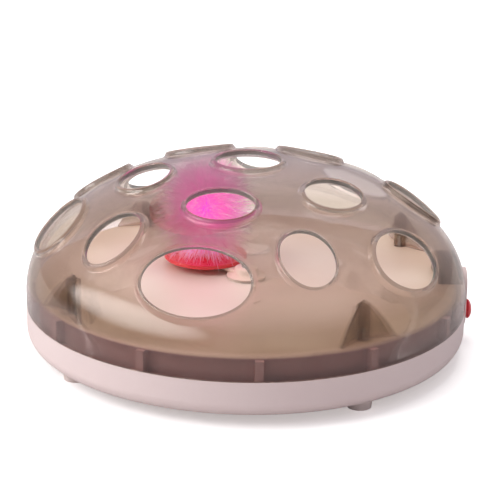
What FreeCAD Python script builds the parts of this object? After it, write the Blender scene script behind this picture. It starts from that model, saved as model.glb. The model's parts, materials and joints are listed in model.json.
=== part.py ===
import FreeCAD, Part
import math
import os

# Automatic cat toy: a feather tuft orbits on a motor driven rotor under a smoky dome pierced
# by lipped paw holes. The dome and a round deck stand on a shallow battery base.
# Units are millimetres. Z is up, the feet stand on z = 0 and the dome's axis is the Z axis.
# Azimuths are in degrees, counted from the front (-Y) towards the switch side (+X).

# Overall shape
BODY_RADIUS = 140.0        # outside of the base ring and of the dome's foot
FOOT_HEIGHT = 6.0          # gap between the floor and the underside of the base
SEAM_Z = 29.0              # where the dome stands on the base
SPRING_Z = 37.5            # where the dome's upright wall turns into its curve
CROWN_RISE = 82.5          # from the spring line to the top of the dome
SHOULDER_RADIUS = 52.5     # lowest of the three arcs that make up the dome's curve
SHOULDER_TILT = 39.2       # where the outward direction has risen this far, the middle arc starts
CROWN_TILT = 68.6          # where it has risen this far, the top arc starts
DOME_WALL = 2.5
BASE_WALL = 2.5
BASE_ROUND = 9.0           # radius of the base's lower edge
SLIP = 0.3                 # clearance between pieces that drop into each other
RUNNING = 0.05             # radial clearance of a shaft in its bush
PRESSED = 0.02             # radial clearance of pieces pushed onto a shaft
OVERSHOOT = 1.0            # how far a cutter runs past the face it opens
SPARE_DEPTH = 1.0          # depth of a screw hole beyond the tip of its screw

# Paw holes: rise of the outward direction, half width and half height of each clear oval
LIP_HEIGHT = 3.0
LIP_WALL = 2.6
UPPER_ROW = {"tilt": 73.2, "half_width": 21.0, "half_height": 16.5}
MIDDLE_ROW = {"tilt": 54.3, "half_width": 16.7, "half_height": 20.2}
LOWER_ROW = {"tilt": 46.4, "half_width": 25.5, "half_height": 20.0}
FRONT_HOLE = {"tilt": 46.4, "half_width": 33.0, "half_height": 22.4}
TOP_HOLE_RADIUS = 20.5
COLUMN_COUNT = 5
COLUMN_PITCH = 68.0        # the columns leave a wider gap on the switch side
FRONT_COLUMN = -18.0       # azimuth of the column with the large front hole
FRONT_COLUMN_INDEX = 3
CUT_DEPTH = 14.0           # how far a hole's cutter reaches on each side of the dome's surface

# Four corner posts: feet, screw towers and dome bosses share these axes
POST_COUNT = 4
POST_INSET = 16.0          # from the base ring's outside in to the axes of the posts
FIRST_POST = 30.0
FOOT_RADIUS = 8.0
FOOT_TAPER = 0.6
BOSS_RADIUS = 4.25
WEB_THICKNESS = 1.6
WEB_LENGTH = 36.0
WEB_SPREAD = 72.0          # angle between each web and the outward direction
SCREW_RADIUS = 1.5
SCREW_HEAD_RADIUS = 3.0
SCREW_HEAD_HEIGHT = 2.0
SCREW_SHANK = 30.0
SCREW_SEAT_Z = 20.0        # shoulder inside the tower that the screw head pulls against
DRIVER_RADIUS = 3.6        # bore under the head for the screwdriver

# Deck under the dome
DECK_TOP_Z = 43.0
DECK_THICKNESS = 2.0
DECK_GAP = 3.3             # between the deck's rim and the inside of the dome
DECK_EDGE_ROUND = 1.9
DECK_LEDGE = 2.2           # how far the deck's rim stands out over its skirt
SKIRT_WALL = 2.0
SKIRT_BOTTOM_Z = 22.0
RIB_COUNT = 12
RIB_WIDTH = 5.0
RIB_BOTTOM_Z = 27.0
DECK_BORE = 10.0
GUARD_WALL = 1.6
GUARD_HEIGHT = 1.2

# Gear train
MODULE = 0.8
PRESSURE_ANGLE = 20.0
WHEEL_TEETH = 48
PINION_TEETH = 12
BACKLASH = 0.12
TRAIN_AZIMUTH = 180.0      # the train runs from the centre towards the back
WHEEL_WIDTH = 6.0
SHAFT_RADIUS = 2.5
PIN_RADIUS = 1.5
MOTOR_SHAFT_RADIUS = 1.0
MOTOR_RADIUS = 12.2
MOTOR_HEIGHT = 12.3
MOTOR_NOSE_RADIUS = 3.5
MOTOR_NOSE_HEIGHT = 1.2
MOTOR_BORE_DEPTH = 5.0
MOTOR_GAP = 2.0            # between the motor and the wheels above it
END_PLAY = 0.5
PLATE_THICKNESS = 2.0
PILLAR_RADIUS = 3.5
PILLAR_INSET = 2.0         # plate left round each pillar
PLATE_CORNER = 4.5
PLATE_HALF_WIDTH = 29.0
PLATE_MARGIN = 18.0
COVER_Z = 33.0
BUSH_RADIUS = 4.0
BUSH_LENGTH = 7.0
BUSH_COLLAR_WIDTH = 1.5
BUSH_COLLAR_HEIGHT = 1.0
BEARING_BOSS_RADIUS = 7.0
WHEEL_Z = 18.0
UPPER_WHEEL_WIDTH = 5.0
PINION_OVERHANG = 1.0
CRADLE_WALL = 2.0
CRADLE_HEIGHT = 5.0
PIN_POST_WALL = 2.5
PLATE_SCREW_SHANK = 8.0
CLIP_THICKNESS = 0.8
CLIP_WIDTH = 2.5
GROOVE_DEPTH = 0.5
CLIP_MOUTH = 2.0           # half width of the ring's opening

# Rotor
ARM_REACH = 38.0
ARM_AZIMUTH = -139.0
ARM_HALF_WIDTH = 5.5
ARM_THICKNESS = 2.2
ARM_CLEARANCE = 0.9        # above the guard ring of the deck
HUB_RADIUS = 7.5
HUB_HEIGHT = 5.0
HUB_CAP = 1.0              # hub left above the end of the shaft
HUB_SCREW_SHANK = 6.5
SEAT_RADIUS = 8.0          # round seat at the end of the arm
FLAT_HEAD_HEIGHT = 1.2
DISC_RADIUS = 27.0
DISC_THICKNESS = 2.0
DISC_RIM = 1.6
RIM_LIFT = 0.5
RIM_BEVEL = 0.5
RIM_SLOPE = 0.9
TIE_HOLE_RADIUS = 1.6
TIE_HOLE_AT = 18.5
SOCKET_RADIUS = 4.0
SOCKET_HEIGHT = 7.0
SOCKET_FLOOR = 0.5
STEM_RADIUS = 1.5
STEM_LENGTH = 42.0
STEM_SOCKET_DEPTH = 5.0
TUFT_RADIUS = 30.0
TUFT_FOOT_RADIUS = 9.0
TUFT_WAIST = 25.0          # how far below its middle the tuft starts to narrow, as an angle
TUFT_BULGE = 20.0          # direction of the point between waist and top that sets its arc
TUFT_TOP_GAP = 5.0         # below the inside of the dome at the tuft's own orbit

# Battery well
CELL_RADIUS = 7.1
CELL_LENGTH = 49.3
CELL_NUB_RADIUS = 2.7
CELL_NUB_LENGTH = 1.2
CELL_COUNT = 3
CELL_PITCH = 15.4
WELL_CENTRE_X = -76.0
WELL_WALL = 2.0
WELL_END_SPACE = 1.8
CELL_CLEARANCE = 0.5
DOOR_THICKNESS = 2.2
DOOR_LEDGE = 3.0
DOOR_TAB = 6.5
DOOR_SEAT = 1.0            # door left under the head of its screw
DOOR_SCREW_SHANK = 7.0
CONTACT_THICKNESS = 0.5
CONTACT_HALF_WIDTH = 4.5
CONTACT_MARGIN = 0.8
CONTACT_TIP_RADIUS = 1.5
CONTACT_GAP = 0.05

# Switch on the right hand side
BEZEL_HALF_WIDTH = 11.0
BEZEL_LOW_Z = 11.0
BEZEL_HIGH_Z = 49.0
BEZEL_PROUD = 1.6
BEZEL_FRONT = 3.0
BEZEL_WALL = 2.0
BEZEL_DEPTH = 14.5
FLANGE_WIDTH = 3.0
FLANGE_THICKNESS = 2.0
BUTTON_Z = 20.8
BUTTON_RADIUS = 5.7
BUTTON_DOME = 2.9
BUTTON_FLANGE = 1.3
BUTTON_LIP = 0.9
BUTTON_STEM_RADIUS = 2.6
BUTTON_TRAVEL = 1.5
BUTTON_GUIDE = 0.1
BUTTON_EDGE = 0.4          # the cap's dome starts this far inside the bezel's face
BUTTON_PLAY = 0.02         # between the stem and the plunger of the switch
BOARD_THICKNESS = 1.6
SWITCH_HALF = 3.0
SWITCH_HEIGHT = 3.5
SWITCH_FLOOR = 0.8
PLUNGER_RADIUS = 1.75
PLUNGER_PROUD = 1.2
POCKET_GAP = 1.0
POCKET_REST = 5.0          # free depth behind the board
POCKET_WALL = 2.0
POCKET_TOP_Z = 61.0

# Derived sizes
OUTER_TOP_Z = SPRING_Z + CROWN_RISE
BASE_BOTTOM_Z = FOOT_HEIGHT
FLOOR_TOP_Z = BASE_BOTTOM_Z + BASE_WALL
DECK_UNDER_Z = DECK_TOP_Z - DECK_THICKNESS
INNER_RADIUS = BODY_RADIUS - DOME_WALL
DECK_RADIUS = INNER_RADIUS - DECK_GAP
SKIRT_RADIUS = DECK_RADIUS - DECK_LEDGE
SKIRT_INSIDE = SKIRT_RADIUS - SKIRT_WALL
POST_RADIUS_AT = BODY_RADIUS - POST_INSET
TOWER_RADIUS = SKIRT_INSIDE - SLIP - POST_RADIUS_AT
WHEEL_PITCH_RADIUS = MODULE * WHEEL_TEETH / 2.0
PINION_PITCH_RADIUS = MODULE * PINION_TEETH / 2.0
CENTRE_DISTANCE = WHEEL_PITCH_RADIUS + PINION_PITCH_RADIUS
PLATE_TOP_Z = FLOOR_TOP_Z + PLATE_THICKNESS
MOTOR_TOP_Z = PLATE_TOP_Z + MOTOR_HEIGHT
UPPER_WHEEL_Z = MOTOR_TOP_Z + MOTOR_GAP
COVER_TOP_Z = COVER_Z + PLATE_THICKNESS
LOWER_BUSH_TOP_Z = FLOOR_TOP_Z + BUSH_LENGTH
UPPER_BUSH_TOP_Z = COVER_Z + BUSH_LENGTH - PLATE_THICKNESS
ARM_Z = DECK_TOP_Z + GUARD_HEIGHT + ARM_CLEARANCE
DISC_Z = ARM_Z + ARM_THICKNESS
DISC_TOP_Z = DISC_Z + DISC_THICKNESS
HUB_TOP_Z = ARM_Z + HUB_HEIGHT
SHAFT_TOP_Z = HUB_TOP_Z - HUB_CAP
STEM_FOOT_Z = DISC_TOP_Z + SOCKET_HEIGHT - STEM_SOCKET_DEPTH
STEM_TOP_Z = STEM_FOOT_Z + STEM_LENGTH
BEZEL_FACE = BODY_RADIUS + BEZEL_PROUD
BEZEL_BACK = BEZEL_FACE - BEZEL_DEPTH
POCKET_HALF_WIDTH = BEZEL_HALF_WIDTH + FLANGE_WIDTH + POCKET_GAP
POCKET_BACK = BEZEL_BACK - BOARD_THICKNESS - POCKET_REST
REACH = 400.0              # longer than anything that it cuts
DOWNWARD, SLOPING, LEVEL, UPWARD = -90.0, -45.0, 0.0, 90.0     # directions on an upright arc


def vec(x=0.0, y=0.0, z=0.0):
    return FreeCAD.Vector(x, y, z)


def polar(radius, azimuth, z=0.0):
    """Point at a radius and an azimuth counted from the front."""
    angle = math.radians(azimuth)
    return vec(radius * math.sin(angle), -radius * math.cos(angle), z)


def cylinder(radius, low, high, at=None):
    at = at or vec()
    return Part.makeCylinder(radius, high - low, vec(at.x, at.y, low))


def tube(outer, inner, low, high, at=None):
    return cylinder(outer, low, high, at).cut(cylinder(inner, low, high, at))


def box(x0, x1, y0, y1, z0, z1):
    return Part.makeBox(x1 - x0, y1 - y0, z1 - z0, vec(x0, y0, z0))


def lines(points):
    """Edges along a list of points."""
    return [Part.makeLine(a, b) for a, b in zip(points, points[1:])]


def spin(edges):
    """Solid of revolution of a closed profile drawn in the XZ plane."""
    face = Part.Face(Part.Wire(edges))
    return face.revolve(vec(), vec(0, 0, 1), 360)


def spin_points(points):
    corners = [vec(r, 0, z) for r, z in points]
    return spin(lines(corners + corners[:1]))


def post_places():
    step = 360.0 / POST_COUNT
    return [polar(POST_RADIUS_AT, FIRST_POST + step * i) for i in range(POST_COUNT)]


def train_place(distance):
    return polar(distance, TRAIN_AZIMUTH)


def crown_arcs():
    """Centre, radius and two limits of each tangent arc of the dome's curve, from the wall up."""
    low = math.radians(SHOULDER_TILT)
    high = math.radians(CROWN_TILT)
    across = BODY_RADIUS - SHOULDER_RADIUS * (1.0 - math.cos(low))
    up = CROWN_RISE - SHOULDER_RADIUS * math.sin(low)
    middle_across = math.cos(low) - math.cos(high)
    middle_up = math.sin(high) - math.sin(low)
    top_across = math.cos(high)
    top_up = 1.0 - math.sin(high)
    both = middle_across * top_up - top_across * middle_up
    middle = (across * top_up - top_across * up) / both
    top = (middle_across * up - middle_up * across) / both
    limits = [0.0, low, high, math.pi / 2.0]
    centre = vec(BODY_RADIUS - SHOULDER_RADIUS, 0, SPRING_Z)
    arcs = []
    radius = SHOULDER_RADIUS
    for start, end, following in zip(limits, limits[1:], [middle, top, top]):
        arcs.append((centre, radius, start, end))
        centre = centre + vec(math.cos(end), 0, math.sin(end)) * (radius - following)
        radius = following
    return arcs


def on_arc(centre, radius, angle):
    return centre + vec(math.cos(angle), 0, math.sin(angle)) * radius


def crown(offset, bottom):
    """Solid inside the dome's surface moved out by an offset, down to a flat bottom."""
    edges = []
    for centre, radius, start, end in crown_arcs():
        ends = [on_arc(centre, radius + offset, angle) for angle in (start, (start + end) / 2.0, end)]
        if end > math.radians(CROWN_TILT):
            ends[2].x = 0.0
        edges.append(Part.Arc(*ends).toShape())
    wall = BODY_RADIUS + offset
    top = vec(0, 0, OUTER_TOP_Z + offset)
    foot = lines([vec(0, 0, bottom), vec(wall, 0, bottom), vec(wall, 0, SPRING_Z)])
    return spin(foot + edges + lines([top, vec(0, 0, bottom)]))


def crown_height(radius, offset):
    """Height of the moved dome surface at a radius."""
    for centre, arc_radius, start, end in reversed(crown_arcs()):
        if radius <= on_arc(centre, arc_radius + offset, start).x:
            break
    return centre.z + math.sqrt((arc_radius + offset) ** 2 - (radius - centre.x) ** 2)


def surface_frame(azimuth, tilt):
    """Point on the dome's surface with its sideways, uphill and outward directions."""
    angle = math.radians(tilt)
    for centre, radius, start, end in crown_arcs():
        if angle <= end:
            break
    profile = on_arc(centre, radius, angle)
    point = polar(profile.x, azimuth, profile.z)
    outward = polar(math.cos(angle), azimuth, math.sin(angle))
    sideways = polar(1.0, azimuth + 90.0)
    uphill = outward.cross(sideways)
    return point, sideways, uphill, outward


def oval_prism(frame, half_width, half_height, inwards, outwards):
    """Oval bar through the dome's surface, along its outward direction."""
    point, sideways, uphill, outward = frame
    start = point - outward * inwards
    wide = start + sideways * half_width
    tall = start + uphill * half_height
    if half_width >= half_height:
        curve = Part.Ellipse(wide, tall, start)
    else:
        curve = Part.Ellipse(tall, wide, start)
    face = Part.Face(Part.Wire([curve.toShape()]))
    return face.extrude(outward * (inwards + outwards))


def paw_holes():
    """Place and size of every oval hole: frame, half width and half height."""
    holes = []
    middles = []
    for index in range(COLUMN_COUNT):
        azimuth = FRONT_COLUMN + COLUMN_PITCH * (index - FRONT_COLUMN_INDEX)
        lower = FRONT_HOLE if index == FRONT_COLUMN_INDEX else LOWER_ROW
        for row in (UPPER_ROW, lower):
            holes.append((azimuth, row))
        if index < COLUMN_COUNT - 1:
            middles.append(azimuth + COLUMN_PITCH / 2.0)
    first = FRONT_COLUMN - COLUMN_PITCH * FRONT_COLUMN_INDEX
    last = first + COLUMN_PITCH * (COLUMN_COUNT - 1)
    middles.append((first + 360.0 + last) / 2.0)
    holes += [(azimuth, MIDDLE_ROW) for azimuth in middles]
    return [(surface_frame(azimuth, row["tilt"]), row["half_width"], row["half_height"])
            for azimuth, row in holes]


def stadium(half_width, low, high, x0, x1, round_low=True):
    """Upright bar along X with a round top, and a round or square lower end."""
    top = box(x0, x1, -half_width, half_width, low + (half_width if round_low else 0.0),
              high - half_width)
    ends = [high - half_width] + ([low + half_width] if round_low else [])
    discs = [Part.makeCylinder(half_width, x1 - x0, vec(x0, 0, z), vec(1, 0, 0)) for z in ends]
    return top.multiFuse(discs).removeSplitter()


def bezel_cutter():
    return stadium(BEZEL_HALF_WIDTH + SLIP, BEZEL_LOW_Z - SLIP, BEZEL_HIGH_Z + SLIP,
                   BEZEL_BACK, BEZEL_FACE + BEZEL_DEPTH)


def make_dome():
    inner = crown(-DOME_WALL, SEAM_Z - OVERSHOOT)
    shell = crown(0.0, SEAM_Z).cut(inner)
    lip_shell = crown(LIP_HEIGHT, SEAM_Z).cut(inner)
    holes = paw_holes()
    lips = [oval_prism(frame, w + LIP_WALL, h + LIP_WALL, CUT_DEPTH, CUT_DEPTH).common(lip_shell)
            for frame, w, h in holes]
    top_lip = cylinder(TOP_HOLE_RADIUS + LIP_WALL, SPRING_Z, REACH).common(lip_shell)
    cutters = [oval_prism(frame, w, h, CUT_DEPTH, CUT_DEPTH) for frame, w, h in holes]
    cutters.append(cylinder(TOP_HOLE_RADIUS, OUTER_TOP_Z - CUT_DEPTH, OUTER_TOP_Z + CUT_DEPTH))
    dome = shell.multiFuse(lips + [top_lip]).cut(cutters)
    deep = [oval_prism(frame, w + LIP_WALL, h + LIP_WALL, 2 * CUT_DEPTH, 0.0)
            for frame, w, h in holes]
    bosses = [dome_boss(index).cut(deep) for index in range(POST_COUNT)]
    dome = dome.multiFuse(bosses + [switch_pocket()])
    dome = dome.cut(bezel_cutter())
    return dome.removeSplitter()


def dome_boss(index):
    """Screw post under the dome with two webs that run out to its wall."""
    azimuth = FIRST_POST + 360.0 / POST_COUNT * index
    centre = polar(POST_RADIUS_AT, azimuth)
    inside = crown(-DOME_WALL / 2.0, DECK_TOP_Z)
    post = cylinder(BOSS_RADIUS, DECK_TOP_Z, OUTER_TOP_Z, centre)
    webs = []
    for side in (-1, 1):
        web = box(0, WEB_LENGTH, -WEB_THICKNESS / 2, WEB_THICKNESS / 2, DECK_TOP_Z + SLIP, OUTER_TOP_Z)
        web.rotate(vec(), vec(0, 0, 1), azimuth - 90.0 + side * WEB_SPREAD)
        web.translate(centre)
        webs.append(web)
    boss = post.multiFuse(webs).common(inside)
    pilot_top = SCREW_SEAT_Z + SCREW_SHANK + SPARE_DEPTH
    return boss.cut(cylinder(SCREW_RADIUS + PRESSED, DECK_TOP_Z, pilot_top, centre))


def switch_pocket():
    """Arched wall inside the dome that closes off the switch from the chamber."""
    low = DECK_TOP_Z + SLIP
    outside = stadium(POCKET_HALF_WIDTH + POCKET_WALL, low, POCKET_TOP_Z, POCKET_BACK, REACH, False)
    inside = stadium(POCKET_HALF_WIDTH, low, POCKET_TOP_Z - POCKET_WALL,
                     POCKET_BACK + POCKET_WALL, REACH, False)
    return outside.cut(inside).common(crown(-DOME_WALL / 2.0, DECK_TOP_Z))


def base_profile(offset):
    """Solid inside the base's outside surface moved in by an offset."""
    centre = vec(BODY_RADIUS - BASE_ROUND, 0, BASE_BOTTOM_Z + BASE_ROUND)
    low, middle, high = [on_arc(centre, BASE_ROUND - offset, math.radians(turn)) for turn in (DOWNWARD, SLOPING, LEVEL)]
    low.x = centre.x
    wall = lines([high, vec(high.x, 0, SEAM_Z), vec(0, 0, SEAM_Z), vec(0, 0, low.z), low])
    return spin([Part.Arc(low, middle, high).toShape()] + wall)


def well_box(grow, low, high):
    half_x = CELL_PITCH * CELL_COUNT / 2.0 + CELL_CLEARANCE + grow
    half_y = CELL_LENGTH / 2.0 + WELL_END_SPACE + grow
    return box(WELL_CENTRE_X - half_x, WELL_CENTRE_X + half_x, -half_y, half_y, low, high)


def cell_axis_z():
    return BASE_BOTTOM_Z + DOOR_THICKNESS + CELL_CLEARANCE + CELL_RADIUS


def well_ceiling_z():
    return cell_axis_z() + CELL_RADIUS + CELL_CLEARANCE


def door_screw_place():
    half_y = CELL_LENGTH / 2.0 + WELL_END_SPACE
    return vec(WELL_CENTRE_X, half_y + DOOR_TAB, 0)


def door_seat_z():
    return BASE_BOTTOM_Z + DOOR_THICKNESS - DOOR_SEAT


def plate_screw_places():
    """Pillar axes at the corners of the gearbox."""
    inset = PILLAR_RADIUS + PILLAR_INSET
    near = inset - PLATE_MARGIN
    far = 2.0 * CENTRE_DISTANCE + PLATE_MARGIN - inset
    side = PLATE_HALF_WIDTH - inset
    return [vec(x, y, 0) for y in (near, far) for x in (-side, side)]


def make_base_tray():
    tray = base_profile(0.0).cut(base_profile(BASE_WALL))
    towers = [cylinder(TOWER_RADIUS, FLOOR_TOP_Z, DECK_UNDER_Z, at) for at in post_places()]
    well = well_box(WELL_WALL, FLOOR_TOP_Z, well_ceiling_z() + WELL_WALL)
    tab_boss = cylinder(SCREW_HEAD_RADIUS + WELL_WALL, FLOOR_TOP_Z,
                        well_ceiling_z() - CELL_RADIUS, door_screw_place())
    tray = tray.multiFuse(towers + [well, tab_boss])
    for at in post_places():
        tray = tray.cut(cylinder(DRIVER_RADIUS, BASE_BOTTOM_Z, SCREW_SEAT_Z, at))
        tray = tray.cut(cylinder(SCREW_RADIUS + SLIP, SCREW_SEAT_Z, DECK_UNDER_Z, at))
    tray = tray.cut(well_box(0.0, BASE_BOTTOM_Z, well_ceiling_z()))
    tray = tray.cut(door_outline(SLIP, BASE_BOTTOM_Z, BASE_BOTTOM_Z + DOOR_THICKNESS))
    pilot_top = door_seat_z() + DOOR_SCREW_SHANK + SPARE_DEPTH
    tray = tray.cut(cylinder(SCREW_RADIUS + PRESSED, BASE_BOTTOM_Z, pilot_top, door_screw_place()))
    tray = tray.cut(bezel_cutter())
    return tray.removeSplitter()


def door_outline(grow, low, high):
    """Battery door plate with its screw tab."""
    plate = well_box(DOOR_LEDGE + grow, low, high)
    tab = cylinder(SCREW_HEAD_RADIUS + WELL_WALL + grow, low, high, door_screw_place())
    return plate.fuse(tab).removeSplitter()


def make_battery_door():
    high = BASE_BOTTOM_Z + DOOR_THICKNESS
    door = door_outline(0.0, BASE_BOTTOM_Z, high)
    door = door.cut(cylinder(SCREW_RADIUS + SLIP, BASE_BOTTOM_Z, high, door_screw_place()))
    return door.cut(cylinder(SCREW_HEAD_RADIUS + SLIP, BASE_BOTTOM_Z, door_seat_z(), door_screw_place()))


def screw(at, seat_z, shank, up=1.0):
    """Pan head screw whose head lies against a seat, with the shank going up or down."""
    head_low = seat_z - SCREW_HEAD_HEIGHT if up > 0 else seat_z
    head = cylinder(SCREW_HEAD_RADIUS, head_low, head_low + SCREW_HEAD_HEIGHT, at)
    low = seat_z if up > 0 else seat_z - shank
    body = cylinder(SCREW_RADIUS, low, low + shank, at)
    return head.fuse(body).removeSplitter()


def make_case_screws():
    return [screw(at, SCREW_SEAT_Z, SCREW_SHANK) for at in post_places()]


def make_door_screw():
    seat = door_seat_z()
    head = cylinder(SCREW_HEAD_RADIUS, BASE_BOTTOM_Z, seat, door_screw_place())
    shank = cylinder(SCREW_RADIUS, seat, seat + DOOR_SCREW_SHANK, door_screw_place())
    return head.fuse(shank).removeSplitter()


def make_feet():
    """Round studs under the towers, bored for the screwdriver."""
    feet = []
    for at in post_places():
        stud = Part.makeCone(FOOT_RADIUS - FOOT_TAPER, FOOT_RADIUS, FOOT_HEIGHT, vec(at.x, at.y, 0))
        feet.append(stud.cut(cylinder(DRIVER_RADIUS, 0, FOOT_HEIGHT, at)))
    return feet


def cell_places():
    first = WELL_CENTRE_X - CELL_PITCH * (CELL_COUNT - 1) / 2.0
    return [first + CELL_PITCH * i for i in range(CELL_COUNT)]


def make_batteries():
    cells = []
    for index, x in enumerate(cell_places()):
        facing = 1.0 if index % 2 == 0 else -1.0
        half = CELL_LENGTH / 2.0
        can = Part.makeCylinder(CELL_RADIUS, CELL_LENGTH - CELL_NUB_LENGTH,
                                vec(x, -half * facing, cell_axis_z()), vec(0, facing, 0))
        nub = Part.makeCylinder(CELL_NUB_RADIUS, CELL_NUB_LENGTH,
                                vec(x, (half - CELL_NUB_LENGTH) * facing, cell_axis_z()),
                                vec(0, facing, 0))
        cells.append(can.fuse(nub).removeSplitter())
    return cells


def make_battery_contacts():
    """Leaf contacts on both end walls of the well, dished towards the cells."""
    contacts = []
    wall_y = CELL_LENGTH / 2.0 + WELL_END_SPACE
    reach = WELL_END_SPACE - CONTACT_THICKNESS - CONTACT_GAP
    for x in cell_places():
        for side in (-1.0, 1.0):
            low_y = min(side * wall_y, side * (wall_y - CONTACT_THICKNESS))
            leaf = box(x - CONTACT_HALF_WIDTH, x + CONTACT_HALF_WIDTH, low_y, low_y + CONTACT_THICKNESS,
                       cell_axis_z() - CONTACT_HALF_WIDTH, cell_axis_z() + CONTACT_HALF_WIDTH)
            dish = Part.makeCone(CONTACT_HALF_WIDTH - CONTACT_MARGIN, CONTACT_TIP_RADIUS, reach,
                                 vec(x, side * (wall_y - CONTACT_THICKNESS), cell_axis_z()),
                                 vec(0, -side, 0))
            contacts.append(leaf.fuse(dish))
    return contacts


def make_deck():
    """Round floor of the chamber with a hanging skirt and locating ribs."""
    edge = DECK_RADIUS
    top = DECK_TOP_Z
    round_start = vec(edge - DECK_EDGE_ROUND, 0, top)
    round_end = vec(edge, 0, top - DECK_EDGE_ROUND)
    slant = DECK_EDGE_ROUND * (1.0 - math.sqrt(0.5))
    middle = vec(edge - slant, 0, top - slant)
    rim = Part.Arc(round_start, middle, round_end).toShape()
    inner = SKIRT_INSIDE
    under = DECK_UNDER_Z
    profile = lines([vec(DECK_BORE, 0, top), round_start]) + [rim]
    profile += lines([round_end, vec(edge, 0, under), vec(SKIRT_RADIUS, 0, under),
                      vec(SKIRT_RADIUS, 0, SKIRT_BOTTOM_Z), vec(inner, 0, SKIRT_BOTTOM_Z),
                      vec(inner, 0, under), vec(DECK_BORE, 0, under), vec(DECK_BORE, 0, top)])
    deck = spin(profile)
    guard = tube(DECK_BORE + GUARD_WALL, DECK_BORE, top, top + GUARD_HEIGHT)
    ribs = []
    for index in range(RIB_COUNT):
        rib = box(SKIRT_RADIUS - SKIRT_WALL / 2, INNER_RADIUS + REACH, -RIB_WIDTH / 2, RIB_WIDTH / 2,
                  RIB_BOTTOM_Z, under)
        rib.rotate(vec(), vec(0, 0, 1), 360.0 / RIB_COUNT * index)
        ribs.append(rib.common(cylinder(INNER_RADIUS - SLIP, RIB_BOTTOM_Z, under)))
    deck = deck.multiFuse([guard] + ribs)
    for at in post_places():
        deck = deck.cut(cylinder(SCREW_RADIUS + SLIP, under, top, at))
    notch = box(POCKET_BACK + POCKET_WALL + POCKET_GAP, REACH, -POCKET_HALF_WIDTH + SLIP,
                POCKET_HALF_WIDTH - SLIP, SKIRT_BOTTOM_Z, top)
    return deck.cut(notch).removeSplitter()


def involute_angle(radius, base_radius):
    """Polar angle of an involute of the base circle where it reaches a radius."""
    turn = math.acos(min(1.0, base_radius / radius))
    return math.tan(turn) - turn


def toothed_disc(teeth, low, high, phase):
    """Spur gear blank round the Z axis with involute teeth; phase turns it, in degrees."""
    pitch = MODULE * teeth / 2.0
    base = pitch * math.cos(math.radians(PRESSURE_ANGLE))
    tip = pitch + MODULE
    root = pitch - 1.25 * MODULE
    foot = max(root, base)
    half = math.pi / (2.0 * teeth) - BACKLASH / 2.0 / pitch + involute_angle(pitch, base)
    flank = [(radius, half - involute_angle(radius, base)) for radius in (foot, pitch, tip)]
    if root < base:
        flank.insert(0, (root, half))
    points = []
    for index in range(teeth):
        centre = 2.0 * math.pi * index / teeth + math.radians(phase)
        rising = [(radius, centre - angle) for radius, angle in flank]
        falling = [(radius, centre + angle) for radius, angle in reversed(flank)]
        for radius, angle in rising + falling:
            points.append(vec(radius * math.cos(angle), radius * math.sin(angle), low))
    outline = Part.makePolygon(points + points[:1])
    return Part.Face(outline).extrude(vec(0, 0, high - low))


def make_output_gear():
    """Wheel on the rotor shaft, with a hub that stands on the lower bush."""
    wheel = toothed_disc(WHEEL_TEETH, WHEEL_Z, WHEEL_Z + WHEEL_WIDTH, wheel_phase())
    hub = cylinder(BEARING_BOSS_RADIUS, LOWER_BUSH_TOP_Z + SLIP, WHEEL_Z)
    return wheel.fuse(hub).cut(cylinder(SHAFT_RADIUS + PRESSED, 0, REACH)).removeSplitter()


def wheel_phase():
    """Turns the wheel so that a gap faces along the train, where the pinion has a tooth."""
    towards_train = TRAIN_AZIMUTH - 90.0
    return towards_train + 180.0 / WHEEL_TEETH


def make_idler_gear():
    """Compound gear: a large wheel on the pinion's level over a small one on the output's."""
    at = train_place(CENTRE_DISTANCE)
    towards_train = TRAIN_AZIMUTH - 90.0
    small = toothed_disc(PINION_TEETH, WHEEL_Z - PINION_OVERHANG, UPPER_WHEEL_Z, towards_train + 180.0)
    large = toothed_disc(WHEEL_TEETH, UPPER_WHEEL_Z, UPPER_WHEEL_Z + UPPER_WHEEL_WIDTH, wheel_phase())
    gear = small.fuse(large).cut(cylinder(PIN_RADIUS + RUNNING, 0, REACH))
    gear.translate(at)
    return gear.removeSplitter()


def make_idler_pin():
    at = train_place(CENTRE_DISTANCE)
    return cylinder(PIN_RADIUS, FLOOR_TOP_Z, COVER_TOP_Z, at)


def make_motor():
    at = train_place(2.0 * CENTRE_DISTANCE)
    can = cylinder(MOTOR_RADIUS, PLATE_TOP_Z, MOTOR_TOP_Z, at)
    nose = cylinder(MOTOR_NOSE_RADIUS, MOTOR_TOP_Z, MOTOR_TOP_Z + MOTOR_NOSE_HEIGHT, at)
    motor = can.fuse(nose)
    bore = cylinder(MOTOR_SHAFT_RADIUS + RUNNING, MOTOR_TOP_Z - MOTOR_BORE_DEPTH, REACH, at)
    return motor.cut(bore).removeSplitter()


def make_motor_pinion():
    """Pinion with the motor's own shaft."""
    at = train_place(2.0 * CENTRE_DISTANCE)
    towards_train = TRAIN_AZIMUTH - 90.0
    low = UPPER_WHEEL_Z - END_PLAY
    high = UPPER_WHEEL_Z + UPPER_WHEEL_WIDTH + END_PLAY
    pinion = toothed_disc(PINION_TEETH, low, high, towards_train + 180.0)
    pinion.translate(at)
    shaft = cylinder(MOTOR_SHAFT_RADIUS, MOTOR_TOP_Z - MOTOR_BORE_DEPTH + END_PLAY, high + END_PLAY, at)
    return pinion.fuse(shaft).removeSplitter()


def gearbox_plate(low):
    far = 2.0 * CENTRE_DISTANCE + PLATE_MARGIN
    plate = box(-PLATE_HALF_WIDTH, PLATE_HALF_WIDTH, -PLATE_MARGIN, far, low, low + PLATE_THICKNESS)
    upright = [edge for edge in plate.Edges if abs(edge.tangentAt(edge.FirstParameter).z) > 0.5]
    return plate.makeFillet(PLATE_CORNER, upright)


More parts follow.
